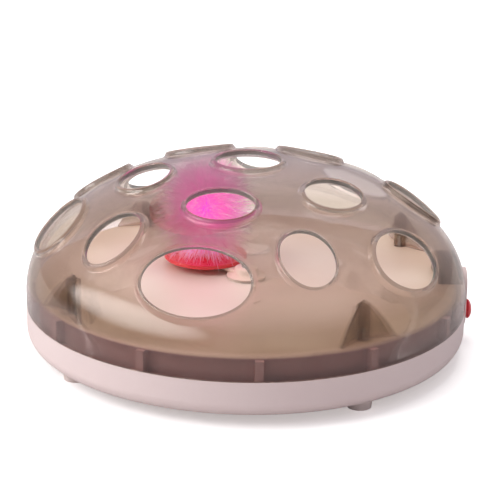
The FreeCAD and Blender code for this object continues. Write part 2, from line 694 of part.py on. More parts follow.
def make_gearbox_base():
    plate = gearbox_plate(FLOOR_TOP_Z)
    pillars = [cylinder(PILLAR_RADIUS, PLATE_TOP_Z, COVER_Z, at) for at in plate_screw_places()]
    boss = cylinder(BEARING_BOSS_RADIUS, PLATE_TOP_Z, LOWER_BUSH_TOP_Z - BUSH_COLLAR_HEIGHT)
    motor_at = train_place(2.0 * CENTRE_DISTANCE)
    cradle = tube(MOTOR_RADIUS + CRADLE_WALL, MOTOR_RADIUS + SLIP, PLATE_TOP_Z, PLATE_TOP_Z + CRADLE_HEIGHT,
                  motor_at)
    pin_post = cylinder(PIN_RADIUS + PIN_POST_WALL, PLATE_TOP_Z, WHEEL_Z - PINION_OVERHANG - SLIP,
                        train_place(CENTRE_DISTANCE))
    frame = plate.multiFuse(pillars + [boss, cradle, pin_post])
    frame = frame.cut(cylinder(BUSH_RADIUS, FLOOR_TOP_Z, LOWER_BUSH_TOP_Z))
    frame = frame.cut(cylinder(PIN_RADIUS + PRESSED, FLOOR_TOP_Z, WHEEL_Z, train_place(CENTRE_DISTANCE)))
    pilot_low = COVER_TOP_Z - PLATE_SCREW_SHANK - SPARE_DEPTH
    for at in plate_screw_places():
        frame = frame.cut(cylinder(SCREW_RADIUS + PRESSED, pilot_low, COVER_Z, at))
    return frame.removeSplitter()


def make_gearbox_cover():
    plate = gearbox_plate(COVER_Z)
    boss = cylinder(BEARING_BOSS_RADIUS, COVER_TOP_Z, UPPER_BUSH_TOP_Z - BUSH_COLLAR_HEIGHT)
    cover = plate.fuse(boss).cut(cylinder(BUSH_RADIUS, COVER_Z, UPPER_BUSH_TOP_Z))
    cover = cover.cut(cylinder(PIN_RADIUS + PRESSED, COVER_Z, COVER_TOP_Z, train_place(CENTRE_DISTANCE)))
    for at in plate_screw_places():
        cover = cover.cut(cylinder(SCREW_RADIUS + SLIP, COVER_Z, COVER_TOP_Z, at))
    return cover.removeSplitter()


def make_gearbox_screws():
    return [screw(at, COVER_TOP_Z, PLATE_SCREW_SHANK, -1.0) for at in plate_screw_places()]


def bush(low, high):
    sleeve = tube(BUSH_RADIUS - PRESSED, SHAFT_RADIUS + RUNNING, low, high)
    collar = tube(BUSH_RADIUS + BUSH_COLLAR_WIDTH, SHAFT_RADIUS + RUNNING, high - BUSH_COLLAR_HEIGHT, high)
    return sleeve.fuse(collar).removeSplitter()


def make_lower_bush():
    return bush(FLOOR_TOP_Z, LOWER_BUSH_TOP_Z)


def make_upper_bush():
    return bush(COVER_Z, UPPER_BUSH_TOP_Z)


def make_output_shaft():
    """Rotor shaft with a groove for its retaining ring and a bore for the hub screw."""
    shaft = cylinder(SHAFT_RADIUS, FLOOR_TOP_Z + SLIP, SHAFT_TOP_Z)
    low = UPPER_BUSH_TOP_Z + SLIP
    groove = tube(SHAFT_RADIUS + OVERSHOOT, SHAFT_RADIUS - GROOVE_DEPTH, low, low + CLIP_THICKNESS)
    bore = cylinder(PIN_RADIUS + PRESSED, HUB_TOP_Z - HUB_SCREW_SHANK - SPARE_DEPTH, SHAFT_TOP_Z)
    return shaft.cut(groove).cut(bore)


def make_retaining_ring():
    """Open ring snapped into the shaft's groove above the upper bush."""
    low = UPPER_BUSH_TOP_Z + SLIP
    ring = tube(SHAFT_RADIUS + CLIP_WIDTH, SHAFT_RADIUS - GROOVE_DEPTH + PRESSED, low, low + CLIP_THICKNESS)
    return ring.cut(box(0, REACH, -CLIP_MOUTH, CLIP_MOUTH, low, low + CLIP_THICKNESS))


def arm_end():
    return polar(ARM_REACH, ARM_AZIMUTH)


def make_rotor_arm():
    """Crank arm: a hub on the shaft, a flat bar and a round seat for the carrier disc."""
    end = arm_end()
    hub = cylinder(HUB_RADIUS, ARM_Z, HUB_TOP_Z)
    bar = box(0, ARM_REACH, -ARM_HALF_WIDTH, ARM_HALF_WIDTH, ARM_Z, ARM_Z + ARM_THICKNESS)
    bar.rotate(vec(), vec(0, 0, 1), ARM_AZIMUTH - 90.0)
    seat = cylinder(SEAT_RADIUS, ARM_Z, ARM_Z + ARM_THICKNESS, end)
    arm = hub.multiFuse([bar, seat])
    arm = arm.cut(cylinder(SHAFT_RADIUS + PRESSED, ARM_Z, SHAFT_TOP_Z))
    arm = arm.cut(cylinder(PIN_RADIUS + SLIP, ARM_Z, HUB_TOP_Z))
    arm = arm.cut(cylinder(SCREW_RADIUS + SLIP, ARM_Z, DISC_Z, end))
    return arm.removeSplitter()


def make_hub_screw():
    head = cylinder(SCREW_HEAD_RADIUS, HUB_TOP_Z, HUB_TOP_Z + SCREW_HEAD_HEIGHT)
    shank = cylinder(PIN_RADIUS, HUB_TOP_Z - HUB_SCREW_SHANK, HUB_TOP_Z)
    return head.fuse(shank).removeSplitter()


def make_carrier_disc():
    """Saucer with a raised rim and two tie holes."""
    inner = DISC_RADIUS - DISC_RIM
    low = DISC_Z
    top = DISC_TOP_Z
    profile = [(SCREW_RADIUS + SLIP, low), (DISC_RADIUS - RIM_BEVEL, low), (DISC_RADIUS, low + RIM_BEVEL),
               (DISC_RADIUS, top), (DISC_RADIUS - RIM_BEVEL, top + RIM_LIFT),
               (inner + RIM_BEVEL, top + RIM_LIFT), (inner - RIM_SLOPE, top), (SCREW_RADIUS + SLIP, top)]
    disc = spin_points(profile)
    disc.translate(arm_end())
    for side in (-1.0, 1.0):
        at = arm_end() + vec(side * TIE_HOLE_AT, 0, 0)
        disc = disc.cut(cylinder(TIE_HOLE_RADIUS, low - OVERSHOOT, top + OVERSHOOT, at))
    return disc


def make_feather_socket():
    """Collar on the disc that grips the stem and takes the screw from below."""
    end = arm_end()
    collar = cylinder(SOCKET_RADIUS, DISC_TOP_Z, DISC_TOP_Z + SOCKET_HEIGHT, end)
    collar = collar.cut(cylinder(STEM_RADIUS + PRESSED, STEM_FOOT_Z, REACH, end))
    return collar.cut(cylinder(SCREW_RADIUS + PRESSED, DISC_TOP_Z, STEM_FOOT_Z - SOCKET_FLOOR, end))


def make_carrier_screw():
    end = arm_end()
    head = cylinder(SCREW_HEAD_RADIUS, ARM_Z - FLAT_HEAD_HEIGHT, ARM_Z, end)
    shank = cylinder(SCREW_RADIUS, ARM_Z, STEM_FOOT_Z - SOCKET_FLOOR - CONTACT_GAP, end)
    return head.fuse(shank).removeSplitter()


def make_feather_stem():
    return cylinder(STEM_RADIUS, STEM_FOOT_Z, STEM_TOP_Z, arm_end())


def tuft_top_z():
    return crown_height(ARM_REACH, -DOME_WALL) - TUFT_TOP_GAP


def make_feather_tuft():
    """Soft tuft: one closed round form on a tapering foot, bored for the stem."""
    foot = DISC_TOP_Z + RIM_LIFT + SLIP
    centre = vec(0, 0, tuft_top_z() - TUFT_RADIUS)
    waist, side, top = [on_arc(centre, TUFT_RADIUS, math.radians(turn)) for turn in (-TUFT_WAIST, TUFT_BULGE, UPWARD)]
    top.x = 0.0
    profile = [Part.Arc(waist, side, top).toShape()]
    profile += lines([top, vec(0, 0, foot), vec(TUFT_FOOT_RADIUS, 0, foot), waist])
    tuft = spin(profile)
    tuft.translate(arm_end())
    tuft = tuft.cut(cylinder(SOCKET_RADIUS + SLIP, 0, DISC_TOP_Z + SOCKET_HEIGHT + SLIP, arm_end()))
    return tuft.cut(cylinder(STEM_RADIUS + SLIP, 0, STEM_TOP_Z + SLIP, arm_end()))


def make_switch_bezel():
    """Upright rounded cup in the notch of base and dome, held by a flange behind the wall."""
    outside = Part.makeCylinder(BEZEL_FACE, REACH, vec())
    cup = stadium(BEZEL_HALF_WIDTH, BEZEL_LOW_Z, BEZEL_HIGH_Z, BEZEL_BACK, BEZEL_FACE + OVERSHOOT)
    hollow = stadium(BEZEL_HALF_WIDTH - BEZEL_WALL, BEZEL_LOW_Z + BEZEL_WALL, BEZEL_HIGH_Z - BEZEL_WALL,
                     BEZEL_BACK, BEZEL_FACE - BEZEL_FRONT)
    flange_low = BASE_BOTTOM_Z + BASE_ROUND + FLANGE_THICKNESS
    flange = stadium(BEZEL_HALF_WIDTH + FLANGE_WIDTH, flange_low, BEZEL_HIGH_Z + FLANGE_WIDTH, 0, REACH, False)
    flange = flange.common(crown(-DOME_WALL - SLIP, 0))
    flange = flange.cut(Part.makeCylinder(INNER_RADIUS - FLANGE_THICKNESS - FLANGE_WIDTH / 2.0, REACH))
    bore = button_rod(BUTTON_RADIUS + BUTTON_GUIDE, BEZEL_BACK, REACH)
    bezel = cup.fuse(flange).common(outside)
    return bezel.cut([hollow, bore]).removeSplitter()


def button_rod(radius, start, end):
    """Round bar along X on the axis of the button."""
    return Part.makeCylinder(radius, end - start, vec(start, 0, BUTTON_Z), vec(1, 0, 0))


def make_power_button():
    """Domed cap through the bezel, with a retaining flange and a stem behind it."""
    back = BEZEL_FACE - BEZEL_FRONT
    edge = BEZEL_FACE - BUTTON_EDGE
    curve_radius = (BUTTON_RADIUS ** 2 + BUTTON_DOME ** 2) / (2.0 * BUTTON_DOME)
    tip = edge + BUTTON_DOME
    ball = Part.makeSphere(curve_radius, vec(tip - curve_radius, 0, BUTTON_Z))
    crown_cap = ball.common(button_rod(BUTTON_RADIUS, edge, tip))
    flange_at = back - SLIP - BUTTON_FLANGE
    cap = button_rod(BUTTON_RADIUS, back - SLIP, edge)
    flange = button_rod(BUTTON_RADIUS + BUTTON_LIP, flange_at, back - SLIP)
    stem = button_rod(BUTTON_STEM_RADIUS, plunger_tip() + BUTTON_PLAY, flange_at)
    return cap.multiFuse([crown_cap, flange, stem]).removeSplitter()


def switch_face():
    return BEZEL_BACK + SWITCH_HEIGHT


def plunger_tip():
    return switch_face() + PLUNGER_PROUD + BUTTON_TRAVEL


def make_circuit_board():
    return stadium(BEZEL_HALF_WIDTH, BEZEL_LOW_Z, BEZEL_HIGH_Z, BEZEL_BACK - BOARD_THICKNESS, BEZEL_BACK)


def make_tact_switch():
    body = box(BEZEL_BACK, switch_face(), -SWITCH_HALF, SWITCH_HALF, BUTTON_Z - SWITCH_HALF,
               BUTTON_Z + SWITCH_HALF)
    return body.cut(button_rod(PLUNGER_RADIUS + RUNNING, BEZEL_BACK + SWITCH_FLOOR, REACH))


def make_switch_plunger():
    return button_rod(PLUNGER_RADIUS, BEZEL_BACK + SWITCH_FLOOR + BUTTON_TRAVEL + SLIP, plunger_tip())


MAKERS = {
    "base_tray": make_base_tray,
    "deck": make_deck,
    "dome": make_dome,
    "feet": make_feet,
    "case_screws": make_case_screws,
    "battery_door": make_battery_door,
    "door_screw": make_door_screw,
    "batteries": make_batteries,
    "battery_contacts": make_battery_contacts,
    "gearbox_base": make_gearbox_base,
    "gearbox_cover": make_gearbox_cover,
    "gearbox_screws": make_gearbox_screws,
    "lower_bush": make_lower_bush,
    "upper_bush": make_upper_bush,
    "motor": make_motor,
    "motor_pinion": make_motor_pinion,
    "idler_gear": make_idler_gear,
    "idler_pin": make_idler_pin,
    "output_gear": make_output_gear,
    "output_shaft": make_output_shaft,
    "retaining_ring": make_retaining_ring,
    "rotor_arm": make_rotor_arm,
    "hub_screw": make_hub_screw,
    "carrier_disc": make_carrier_disc,
    "carrier_screw": make_carrier_screw,
    "feather_socket": make_feather_socket,
    "feather_stem": make_feather_stem,
    "feather_tuft": make_feather_tuft,
    "switch_bezel": make_switch_bezel,
    "power_button": make_power_button,
    "circuit_board": make_circuit_board,
    "tact_switch": make_tact_switch,
    "switch_plunger": make_switch_plunger,
}


def main():
    os.makedirs("parts", exist_ok=True)
    for name, maker in MAKERS.items():
        made = maker()
        shape = Part.makeCompound(made) if isinstance(made, list) else made
        shape.exportStep("parts/" + name + ".step")
        print(name, "solids", len(shape.Solids), "valid", shape.isValid(), "volume", round(shape.Volume))


main()
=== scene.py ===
# %% [markdown]
# # A round cat toy under a smoky dome
#
# The toy is a shallow blush base with a flat cream deck, and over them a clear smoky dome with
# lipped paw holes. Inside, a red disc carries a pink tuft round and round. This file takes the
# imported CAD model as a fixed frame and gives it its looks, one piece or finish at a time.
# Lengths are metres, +Z is up, and the front of the toy faces -Y.

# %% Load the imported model
import json
import math
import random

import bmesh
import bpy
from mathutils import Matrix, Vector


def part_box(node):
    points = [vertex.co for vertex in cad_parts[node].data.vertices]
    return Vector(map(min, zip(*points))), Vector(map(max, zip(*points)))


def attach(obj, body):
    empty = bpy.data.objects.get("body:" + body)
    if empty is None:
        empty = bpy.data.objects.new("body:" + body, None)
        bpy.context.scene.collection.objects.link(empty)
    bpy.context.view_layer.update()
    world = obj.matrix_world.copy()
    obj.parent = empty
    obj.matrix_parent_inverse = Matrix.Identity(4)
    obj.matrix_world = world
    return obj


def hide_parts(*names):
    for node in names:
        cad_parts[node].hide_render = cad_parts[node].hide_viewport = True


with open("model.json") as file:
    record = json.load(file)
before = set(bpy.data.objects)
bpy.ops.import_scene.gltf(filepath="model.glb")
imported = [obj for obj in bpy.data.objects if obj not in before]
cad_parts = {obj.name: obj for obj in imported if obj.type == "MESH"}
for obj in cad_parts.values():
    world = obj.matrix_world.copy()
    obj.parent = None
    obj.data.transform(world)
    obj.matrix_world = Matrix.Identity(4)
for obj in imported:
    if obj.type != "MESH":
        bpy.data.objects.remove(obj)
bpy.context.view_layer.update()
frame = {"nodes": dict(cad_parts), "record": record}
nodes = frame["nodes"]

# %% [markdown]
# ## The camera
#
# The camera stands where the outlines of the seam, the deck and the dome of the model fall on
# those of the photograph: a little over a metre away, looking 19 degrees down, with a long lens.

# %% Place the camera
CAMERA_PLACE = (-0.0723, -1.1508, 0.4603)
CAMERA_LENS = 137.9
LOOK_DOWN = math.radians(19.08)
CAMERA_TURN = math.radians(-3.7)
CAMERA_ROLL = math.radians(1.036)

camera = bpy.data.objects.new("camera", bpy.data.cameras.new("camera"))
bpy.context.scene.collection.objects.link(camera)
camera.data.lens = CAMERA_LENS
camera.data.sensor_width = 36.0
camera.data.clip_start, camera.data.clip_end = 0.05, 50.0
camera.matrix_world = (Matrix.Translation(CAMERA_PLACE) @ Matrix.Rotation(CAMERA_TURN, 4, "Z")
                       @ Matrix.Rotation(math.pi / 2 - LOOK_DOWN, 4, "X")
                       @ Matrix.Rotation(CAMERA_ROLL, 4, "Z"))
bpy.context.scene.camera = camera
print("camera at", CAMERA_PLACE, "lens", CAMERA_LENS)

# %% [markdown]
# ## Sums in a material
#
# A material is a small network of nodes. Written out node by node it is long, so a value that
# comes out of a node is wrapped in a small class, and a sum on two such values adds a Math node.
# Then a pattern reads as a plain sum, such as `1 - mask`.


# %% A value of a material, and a finish that holds the nodes
class Value:
    """What comes out of a node's socket."""

    def __init__(self, finish, socket):
        self.finish, self.socket = finish, socket

    def sum(self, operation, first, second):
        return self.finish.node("ShaderNodeMath", {"operation": operation}, {0: first, 1: second})

    def __add__(self, other):
        return self.sum("ADD", self, other)

    def __sub__(self, other):
        return self.sum("SUBTRACT", self, other)

    def __rsub__(self, other):
        return self.sum("SUBTRACT", other, self)

    def __mul__(self, other):
        return self.sum("MULTIPLY", self, other)

    def __pow__(self, other):
        return self.sum("POWER", self, other)

    def over(self, other):
        return self.sum("GREATER_THAN", self, other)

    def most(self, other):
        return self.sum("MAXIMUM", self, other)

    def least(self, other):
        return self.sum("MINIMUM", self, other)

    __radd__, __rmul__ = __add__, __mul__


class Finish:
    """A material or a world, and the nodes in it."""

    def __init__(self, owner):
        self.owner = owner
        owner.use_nodes = True
        self.tree = owner.node_tree
        self.tree.nodes.clear()

    def node(self, kind, settings=None, sockets=None, out=0):
        """Adds a node: its settings first, then the values or links of its sockets."""
        node = self.tree.nodes.new(kind)
        for name, value in (settings or {}).items():
            if name == "stops":
                set_stops(node.color_ramp, value)
            else:
                setattr(node, name, value)
        for name, value in (sockets or {}).items():
            if isinstance(value, Value):
                self.tree.links.new(value.socket, node.inputs[name])
            else:
                node.inputs[name].default_value = value
        return Value(self, node.outputs[out]) if node.outputs else node


def set_stops(ramp, stops):
    """Puts the stops (position, colour) on a colour ramp."""
    while len(ramp.elements) < len(stops):
        ramp.elements.new(1.0)
    for element, (position, colour) in zip(ramp.elements, stops):
        element.position, element.color = position, colour


def paint(red, green, blue):
    """A colour as an eye reads it, 0 to 255, turned into the light that a shader works in."""
    light = [v / 255 / 12.92 if v <= 10.3 else ((v / 255 + 0.055) / 1.055) ** 2.4
             for v in (red, green, blue)]
    return (*light, 1.0)


print("blush is", [round(v, 3) for v in paint(238, 222, 219)])

# %% [markdown]
# ## Steps that every finish shares
#
# Each finish reads Object coordinates, so its pattern keeps its true size in metres and stays on
# the piece when it moves. Noise gives slow changes of tone and the fine grain of a mould, a Bump
# node turns the grain into light and shade, and a Principled shader closes the material.


# %% Noise, ramps, mixes and the closing shader
def new_finish(name):
    return Finish(bpy.data.materials.new(name))


def place(f):
    return f.node("ShaderNodeTexCoord", out="Object")


def noise(f, size, detail=2.0, where=None):
    """Soft noise from 0 to 1 whose lumps are about the given size in metres."""
    return f.node("ShaderNodeTexNoise", None,
                  {"Vector": where or place(f), "Scale": 1.0 / size, "Detail": detail})


def along_axis(f, axis):
    """How far along an axis a point lies, in metres."""
    return f.node("ShaderNodeSeparateXYZ", None, {0: place(f)}, out=axis)


def stretched(f, scale):
    """Object coordinates stretched along an axis, for streaks."""
    return f.node("ShaderNodeMapping", None, {"Vector": place(f), "Scale": scale})


def spread(f, value, low, high):
    """Moves the middle of a noise out to the range low to high."""
    return f.node("ShaderNodeMapRange", {"clamp": True},
                  {"Value": value, "From Min": 0.3, "From Max": 0.7, "To Min": low, "To Max": high})


def mix(f, factor, first, second):
    return f.node("ShaderNodeMix", {"data_type": "RGBA"}, {0: factor, 6: first, 7: second}, out=2)


def bump(f, height, depth, strength=1.0):
    return f.node("ShaderNodeBump", None,
                  {"Height": height, "Distance": depth, "Strength": strength})


def close(f, shader):
    f.node("ShaderNodeOutputMaterial", None, {"Surface": shader})
    return f.owner


def principled(f, **sockets):
    names = {name.replace("_", " "): value for name, value in sockets.items()}
    return f.node("ShaderNodeBsdfPrincipled", None, names)


# %% [markdown]
# ## Moulded plastics
#
# Base, deck, feet and gears are injection moulded. Such a face is even in colour, with a very
# fine spark eroded grain, a slow cloudy change of tone where the plastic flowed, and a few rubbed
# places that shine a little more. One recipe makes all of them but the deck, which has its own
# below, each with its own colours and gloss.


# %% Make the moulded plastics
def moulded(name, colour, shade, rough, grain=0.00045, relief=0.00002):
    f = new_finish(name)
    cloud = spread(f, noise(f, 0.05, 3.0), 0.0, 1.0)
    fine = noise(f, grain, 4.0)
    rubbed = spread(f, noise(f, 0.012, 5.0), rough - 0.05, rough + 0.05)
    speck = spread(f, noise(f, 0.0016, 2.0), 0.0, 0.35)
    tone = mix(f, speck, mix(f, cloud, colour, shade), shade)
    return close(f, principled(f, Base_Color=tone, Roughness=rubbed, Normal=bump(f, fine, relief)))


finishes = {
    "blush_plastic": moulded("blush_plastic", paint(240, 222, 219), paint(236, 216, 213), 0.42),
    "cream_plastic": moulded("cream_plastic", paint(240, 216, 202), paint(236, 211, 196), 0.38),
    "dark_plastic": moulded("dark_plastic", paint(52, 44, 44), paint(44, 38, 38), 0.45),
    "white_plastic": moulded("white_plastic", paint(238, 237, 232), paint(230, 229, 224), 0.4),
    "foot_rubber": moulded("foot_rubber", paint(240, 224, 217), paint(232, 214, 208), 0.62, 0.0008,
                           0.00005),
}
print("moulded finishes:", sorted(finishes))

# %% [markdown]
# ## The deck and its skirt
#
# The deck is one cream moulding. Its skirt sits in the narrow gap behind the dome's foot, where
# shade falls, and that shade is painted into its colour as mauve; the ribs that reach out to the
# dome catch a little more light, so their painted shade is lighter. Painted shade also turns the
# floor tawny towards its rim. Masks made of sums on the position keep each tone in its place.


# %% Make the deck's finish
# Painted shade: over this reach the deck's floor turns tawny, darkest at its rim.
RIM_SHADE_FROM, RIM_SHADE_FULL = 0.07, 0.132                     # reach over which the floor turns tawny
# Where the skirt and its ribs lie. Below the deck's top their colour is painted shade: mauve on the
# skirt, lighter on the ribs.
SKIRT_FROM, RIB_FROM, SKIRT_TOP = 0.1295, 0.1325, 0.0418


def deck_plastic(name, cream, rim_shade, skirt_shade, rib_shade):
    f = new_finish(name)
    where = [along_axis(f, axis) for axis in "XYZ"]
    reach = (where[0] * where[0] + where[1] * where[1]) ** 0.5
    # How far the painted shade has turned the floor tawny at this reach.
    edge = f.node("ShaderNodeMapRange", {"interpolation_type": "SMOOTHSTEP"},
                  {"Value": reach, "From Min": RIM_SHADE_FROM, "From Max": RIM_SHADE_FULL,
                   "To Min": 0.0, "To Max": 1.0})
    cloud = spread(f, noise(f, 0.04, 3.0), 0.0, 0.12)
    tone = mix(f, (edge + cloud).least(1.0), cream, rim_shade)
    # Painted shade: mauve on the skirt, lighter on the ribs, which catch a little more light.
    skirt_painted_shade = mix(f, reach.over(RIB_FROM), skirt_shade, rib_shade)
    skirt_shade_mask = (1 - where[2].over(SKIRT_TOP)) * reach.over(SKIRT_FROM)
    return close(f, principled(f, Base_Color=mix(f, skirt_shade_mask, tone, skirt_painted_shade),
                               Roughness=spread(f, noise(f, 0.01, 4.0), 0.3, 0.42),
                               Normal=bump(f, noise(f, 0.0005, 4.0), 0.00002)))


# Cream, the tawny painted shade of the rim, and the mauve and lighter painted shades of skirt and
# ribs.
finishes["deck"] = deck_plastic("deck", paint(242, 225, 214), paint(232, 212, 194),
                                paint(184, 150, 150), paint(192, 160, 160))
print("deck finish ready")

# %% [markdown]
# ## Red plastic
#
# The disc, its socket and the power button are a clean saturated red with a polished skin. Light
# handling leaves faint arcs that only show in the gloss, so they go into the roughness.


# %% Make the red plastic
def polished(name, colour, deep, rough):
    f = new_finish(name)
    flow = spread(f, noise(f, 0.03, 3.0), 0.0, 1.0)
    arcs = noise(f, 0.0008, 3.0, stretched(f, (1.0, 0.2, 1.0)))
    rub = spread(f, arcs, rough - 0.06, rough + 0.08)
    ripple = noise(f, 0.004, 2.0)
    return close(f, principled(f, Base_Color=mix(f, flow, colour, deep), Roughness=rub,
                               Coat_Weight=0.3, Coat_Roughness=0.1,
                               Normal=bump(f, ripple, 0.00003, 0.5)))


finishes["red_plastic"] = polished("red_plastic", paint(238, 54, 66), paint(226, 44, 58), 0.3)
print("red plastic ready")

# %% [markdown]
# ## Metals, board and battery sleeves
#
# Screws, shaft and springs are seen only when the base is opened, but they are part of the toy
# too. Turned steel has fine streaks round it, nickel is brighter and smoother, a sintered bush
# is speckled, the board is green lacquer over faint copper runs, and the cells wear a plain
# sleeve with a darker band at one end.


# %% Make the metals
def metal(name, colour, shade, rough, streak=(1.0, 1.0, 0.08), size=0.0006):
    f = new_finish(name)
    lines = noise(f, size, 4.0, stretched(f, streak))
    stain = spread(f, noise(f, 0.008, 3.0), 0.0, 1.0)
    return close(f, principled(f, Base_Color=mix(f, stain, colour, shade), Metallic=1.0,
                               Roughness=spread(f, lines, rough - 0.08, rough + 0.1),
                               Normal=bump(f, lines, 0.00001, 0.6)))


finishes["steel"] = metal("steel", paint(190, 192, 196), paint(172, 174, 178), 0.3)
finishes["nickel"] = metal("nickel", paint(214, 210, 202), paint(200, 195, 186), 0.18)
finishes["bronze"] = metal("bronze", paint(196, 154, 98), paint(160, 118, 68), 0.42,
                           (1.0, 1.0, 1.0), 0.0003)


# %% Make the board and the battery sleeve
SLEEVE_BAND = 0.021        # the darker band starts this far from the middle of the base


def circuit(name):
    f = new_finish(name)
    runs = f.node("ShaderNodeTexVoronoi", {"feature": "DISTANCE_TO_EDGE", "distance": "MANHATTAN"},
                  {"Vector": place(f), "Scale": 260.0}, out="Distance")
    copper = spread(f, runs * 4.0, 1.0, 0.0)
    tone = mix(f, copper, paint(28, 104, 62), paint(58, 142, 84))
    return close(f, principled(f, Base_Color=tone, Roughness=0.35, Coat_Weight=0.4,
                               Normal=bump(f, copper, 0.00004)))


def sleeve(name):
    f = new_finish(name)
    ends = along_axis(f, "X")
    band = (ends * ends).over(SLEEVE_BAND ** 2)
    wrinkle = noise(f, 0.004, 3.0)
    tone = mix(f, band, paint(196, 200, 206), paint(60, 62, 66))
    return close(f, principled(f, Base_Color=tone, Metallic=0.4,
                               Roughness=spread(f, wrinkle, 0.24, 0.34),
                               Normal=bump(f, wrinkle, 0.00004, 0.4)))


finishes["board"] = circuit("board")
finishes["cell_wrap"] = sleeve("cell_wrap")
print("metals, board and sleeves ready")

# %% [markdown]
# ## Smoky clear plastic
#
# The dome is a glossy grey brown polycarbonate. A list of tints by height sets the colour that
# passes through. It holds the plastic's own smoke, and low down painted shade as well: there it
# turns browner and darker, for the deck's front and skirt lying in shade behind the wall. Near the
# top it is cooler. The camera sees real refraction, which draws the bright and dark lines of the
# lips. For the light that falls on the deck a plain see-through tint is enough, and gives a render
# without grain, so the Light Path node picks between the two. The wall inside each hole is a
# slightly matt edge painted dark grey green: partly the smoke gathered along a cut edge, and
# partly painted shade for the dark line that refraction and inner reflection draw there.


# %% Make the smoky plastic
EVEN_SHARE = 0.3           # share of plain tint, which keeps the lips from turning black
SMOKE_TOP = 0.13           # height at which the list of tints ends
EDGE_PASSED, EDGE_EVEN = 0.85, 0.25    # shares of plain tint on the wall inside a hole
# Tints by height: the plastic's own smoke, and in the dark brown rows low down painted shade of the
# deck's front and skirt.
SMOKE_AND_SHADE = [(0.033, (0.68, 0.58, 0.56)), (0.044, (0.62, 0.52, 0.49)), (0.047, (0.42, 0.35, 0.275)),
         (0.056, (0.42, 0.35, 0.275)), (0.074, (0.73, 0.645, 0.585)), (0.09, (0.66, 0.575, 0.52)),
         (0.108, (0.58, 0.5, 0.465)), (0.118, (0.65, 0.59, 0.6)), (0.126, (0.7, 0.66, 0.71))]


def smoky(name, strength, side, gloss=0.45):
    """Clear plastic whose tint, painted shade included, follows the height. Strength scales the
    tint.
    """
    f = new_finish(name)
    height = along_axis(f, "Z")
    tint_and_shade = f.node("ShaderNodeValToRGB", {"stops": [
        (z / SMOKE_TOP, (*[c * strength for c in tint], 1.0)) for z, tint in SMOKE_AND_SHADE]},
        {0: height * (1 / SMOKE_TOP)})
    ripple = noise(f, 0.03, 2.0)
    smudge = spread(f, noise(f, 0.02, 5.0), 0.015, 0.05)
    clear = principled(f, Base_Color=tint_and_shade, Roughness=smudge, IOR=1.3, Transmission_Weight=1.0,
                       Coat_Weight=gloss, Coat_Roughness=0.03, Coat_IOR=1.5,
                       Normal=bump(f, ripple, 0.00012, 0.3))
    tint = f.node("ShaderNodeBsdfTransparent", None, {"Color": side})
    shadow = f.node("ShaderNodeLightPath", out="Is Shadow Ray")
    soft = f.node("ShaderNodeLightPath", out="Is Diffuse Ray")
    return close(f, f.node("ShaderNodeMixShader", None,
                           {0: shadow.most(soft).most(EVEN_SHARE), 1: clear, 2: tint}))


def edge_with_painted_shade(name):
    """The wall inside a hole, a little matt, with the smoke's colour and painted shade for its dark
    line.
    """
    f = new_finish(name)
    # Painted shade: a dark grey green for the dark line that refraction and inner reflection draw
    # along the wall.
    tone = mix(f, spread(f, noise(f, 0.03, 2.0), 0.0, 1.0), (0.12, 0.13, 0.12, 1.0),
               (0.16, 0.165, 0.155, 1.0))
    body = principled(f, Base_Color=tone, Roughness=spread(f, noise(f, 0.02, 2.0), 0.14, 0.2),
                      IOR=1.4, Transmission_Weight=0.2)
    tint = f.node("ShaderNodeBsdfTransparent", None, {"Color": (0.8, 0.775, 0.755, 1.0)})
    shadow = f.node("ShaderNodeLightPath", out="Is Shadow Ray")
    passed = f.node("ShaderNodeLightPath", out="Is Transmission Ray")
    return close(f, f.node("ShaderNodeMixShader", None,
                           {0: shadow.most(passed * EDGE_PASSED).most(EDGE_EVEN),
                            1: body, 2: tint}))


finishes["smoky_plastic"] = smoky("smoky_plastic", 1.0, (0.81, 0.755, 0.725, 1.0))
finishes["smoky_deep"] = smoky("smoky_deep", 0.38, (0.6, 0.55, 0.52, 1.0))
finishes["lip_wall_painted_shade"] = edge_with_painted_shade("lip_wall_painted_shade")
print("smoky plastics ready")

# %% [markdown]
# ## Fibres of the tuft
#
# The tuft is dyed down: hot magenta near the quills and almost white pink at the tips, where few
# hairs lie over each other. The colour follows an attribute that runs from root to tip. The hairs
# also glow a little, magenta near the quills and hardly at the tips: a painted glow that stands in
# for light shining through the down.


# %% Make the fibre finish
def fibre_with_painted_glow(name):
    f = new_finish(name)
    along = f.node("ShaderNodeAttribute", {"attribute_name": "along"}, out="Fac")
    # Each hair's own tone: hairs low on the stem are paler and duller, painted shade for the shaded
    # lower tuft.
    own = f.node("ShaderNodeAttribute", {"attribute_name": "tone"}, out="Fac")
    ramp = f.node("ShaderNodeValToRGB", {"stops": [
        (0.0, paint(248, 60, 208)), (0.35, paint(255, 112, 222)), (0.65, paint(255, 170, 230)),
        (1.0, paint(255, 226, 240))]}, {0: along * 0.8 + own * 0.2})
    # Painted glow: magenta light given off near the quills, fading to almost none at the tips.
    glow = f.node("ShaderNodeValToRGB", {"stops": [
        (0.0, (1.0, 0.14, 0.8, 1.0)), (0.4, (0.6, 0.2, 0.45, 1.0)), (1.0, (0.12, 0.08, 0.1, 1.0))]},
        {0: along})
    return close(f, principled(f, Base_Color=ramp, Roughness=0.55, Emission_Color=glow,
                               Emission_Strength=0.4, Sheen_Weight=0.3))


finishes["feather_pink"] = fibre_with_painted_glow("feather_pink")
print("finishes:", len(finishes))

# %% [markdown]
# ## Dress the CAD nodes
#
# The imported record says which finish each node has, so a loop puts them on. Only the deck, which
# needs its own masks, has a finish named after itself.

# %% Put the finishes on the nodes
OWN_FINISH = {"deck": "deck"}
for part in frame["record"]["subparts"]:
    for material_slot in nodes[part["node"]].material_slots:
        material_slot.material = finishes[OWN_FINISH.get(part["node"], part["material_slot"])]

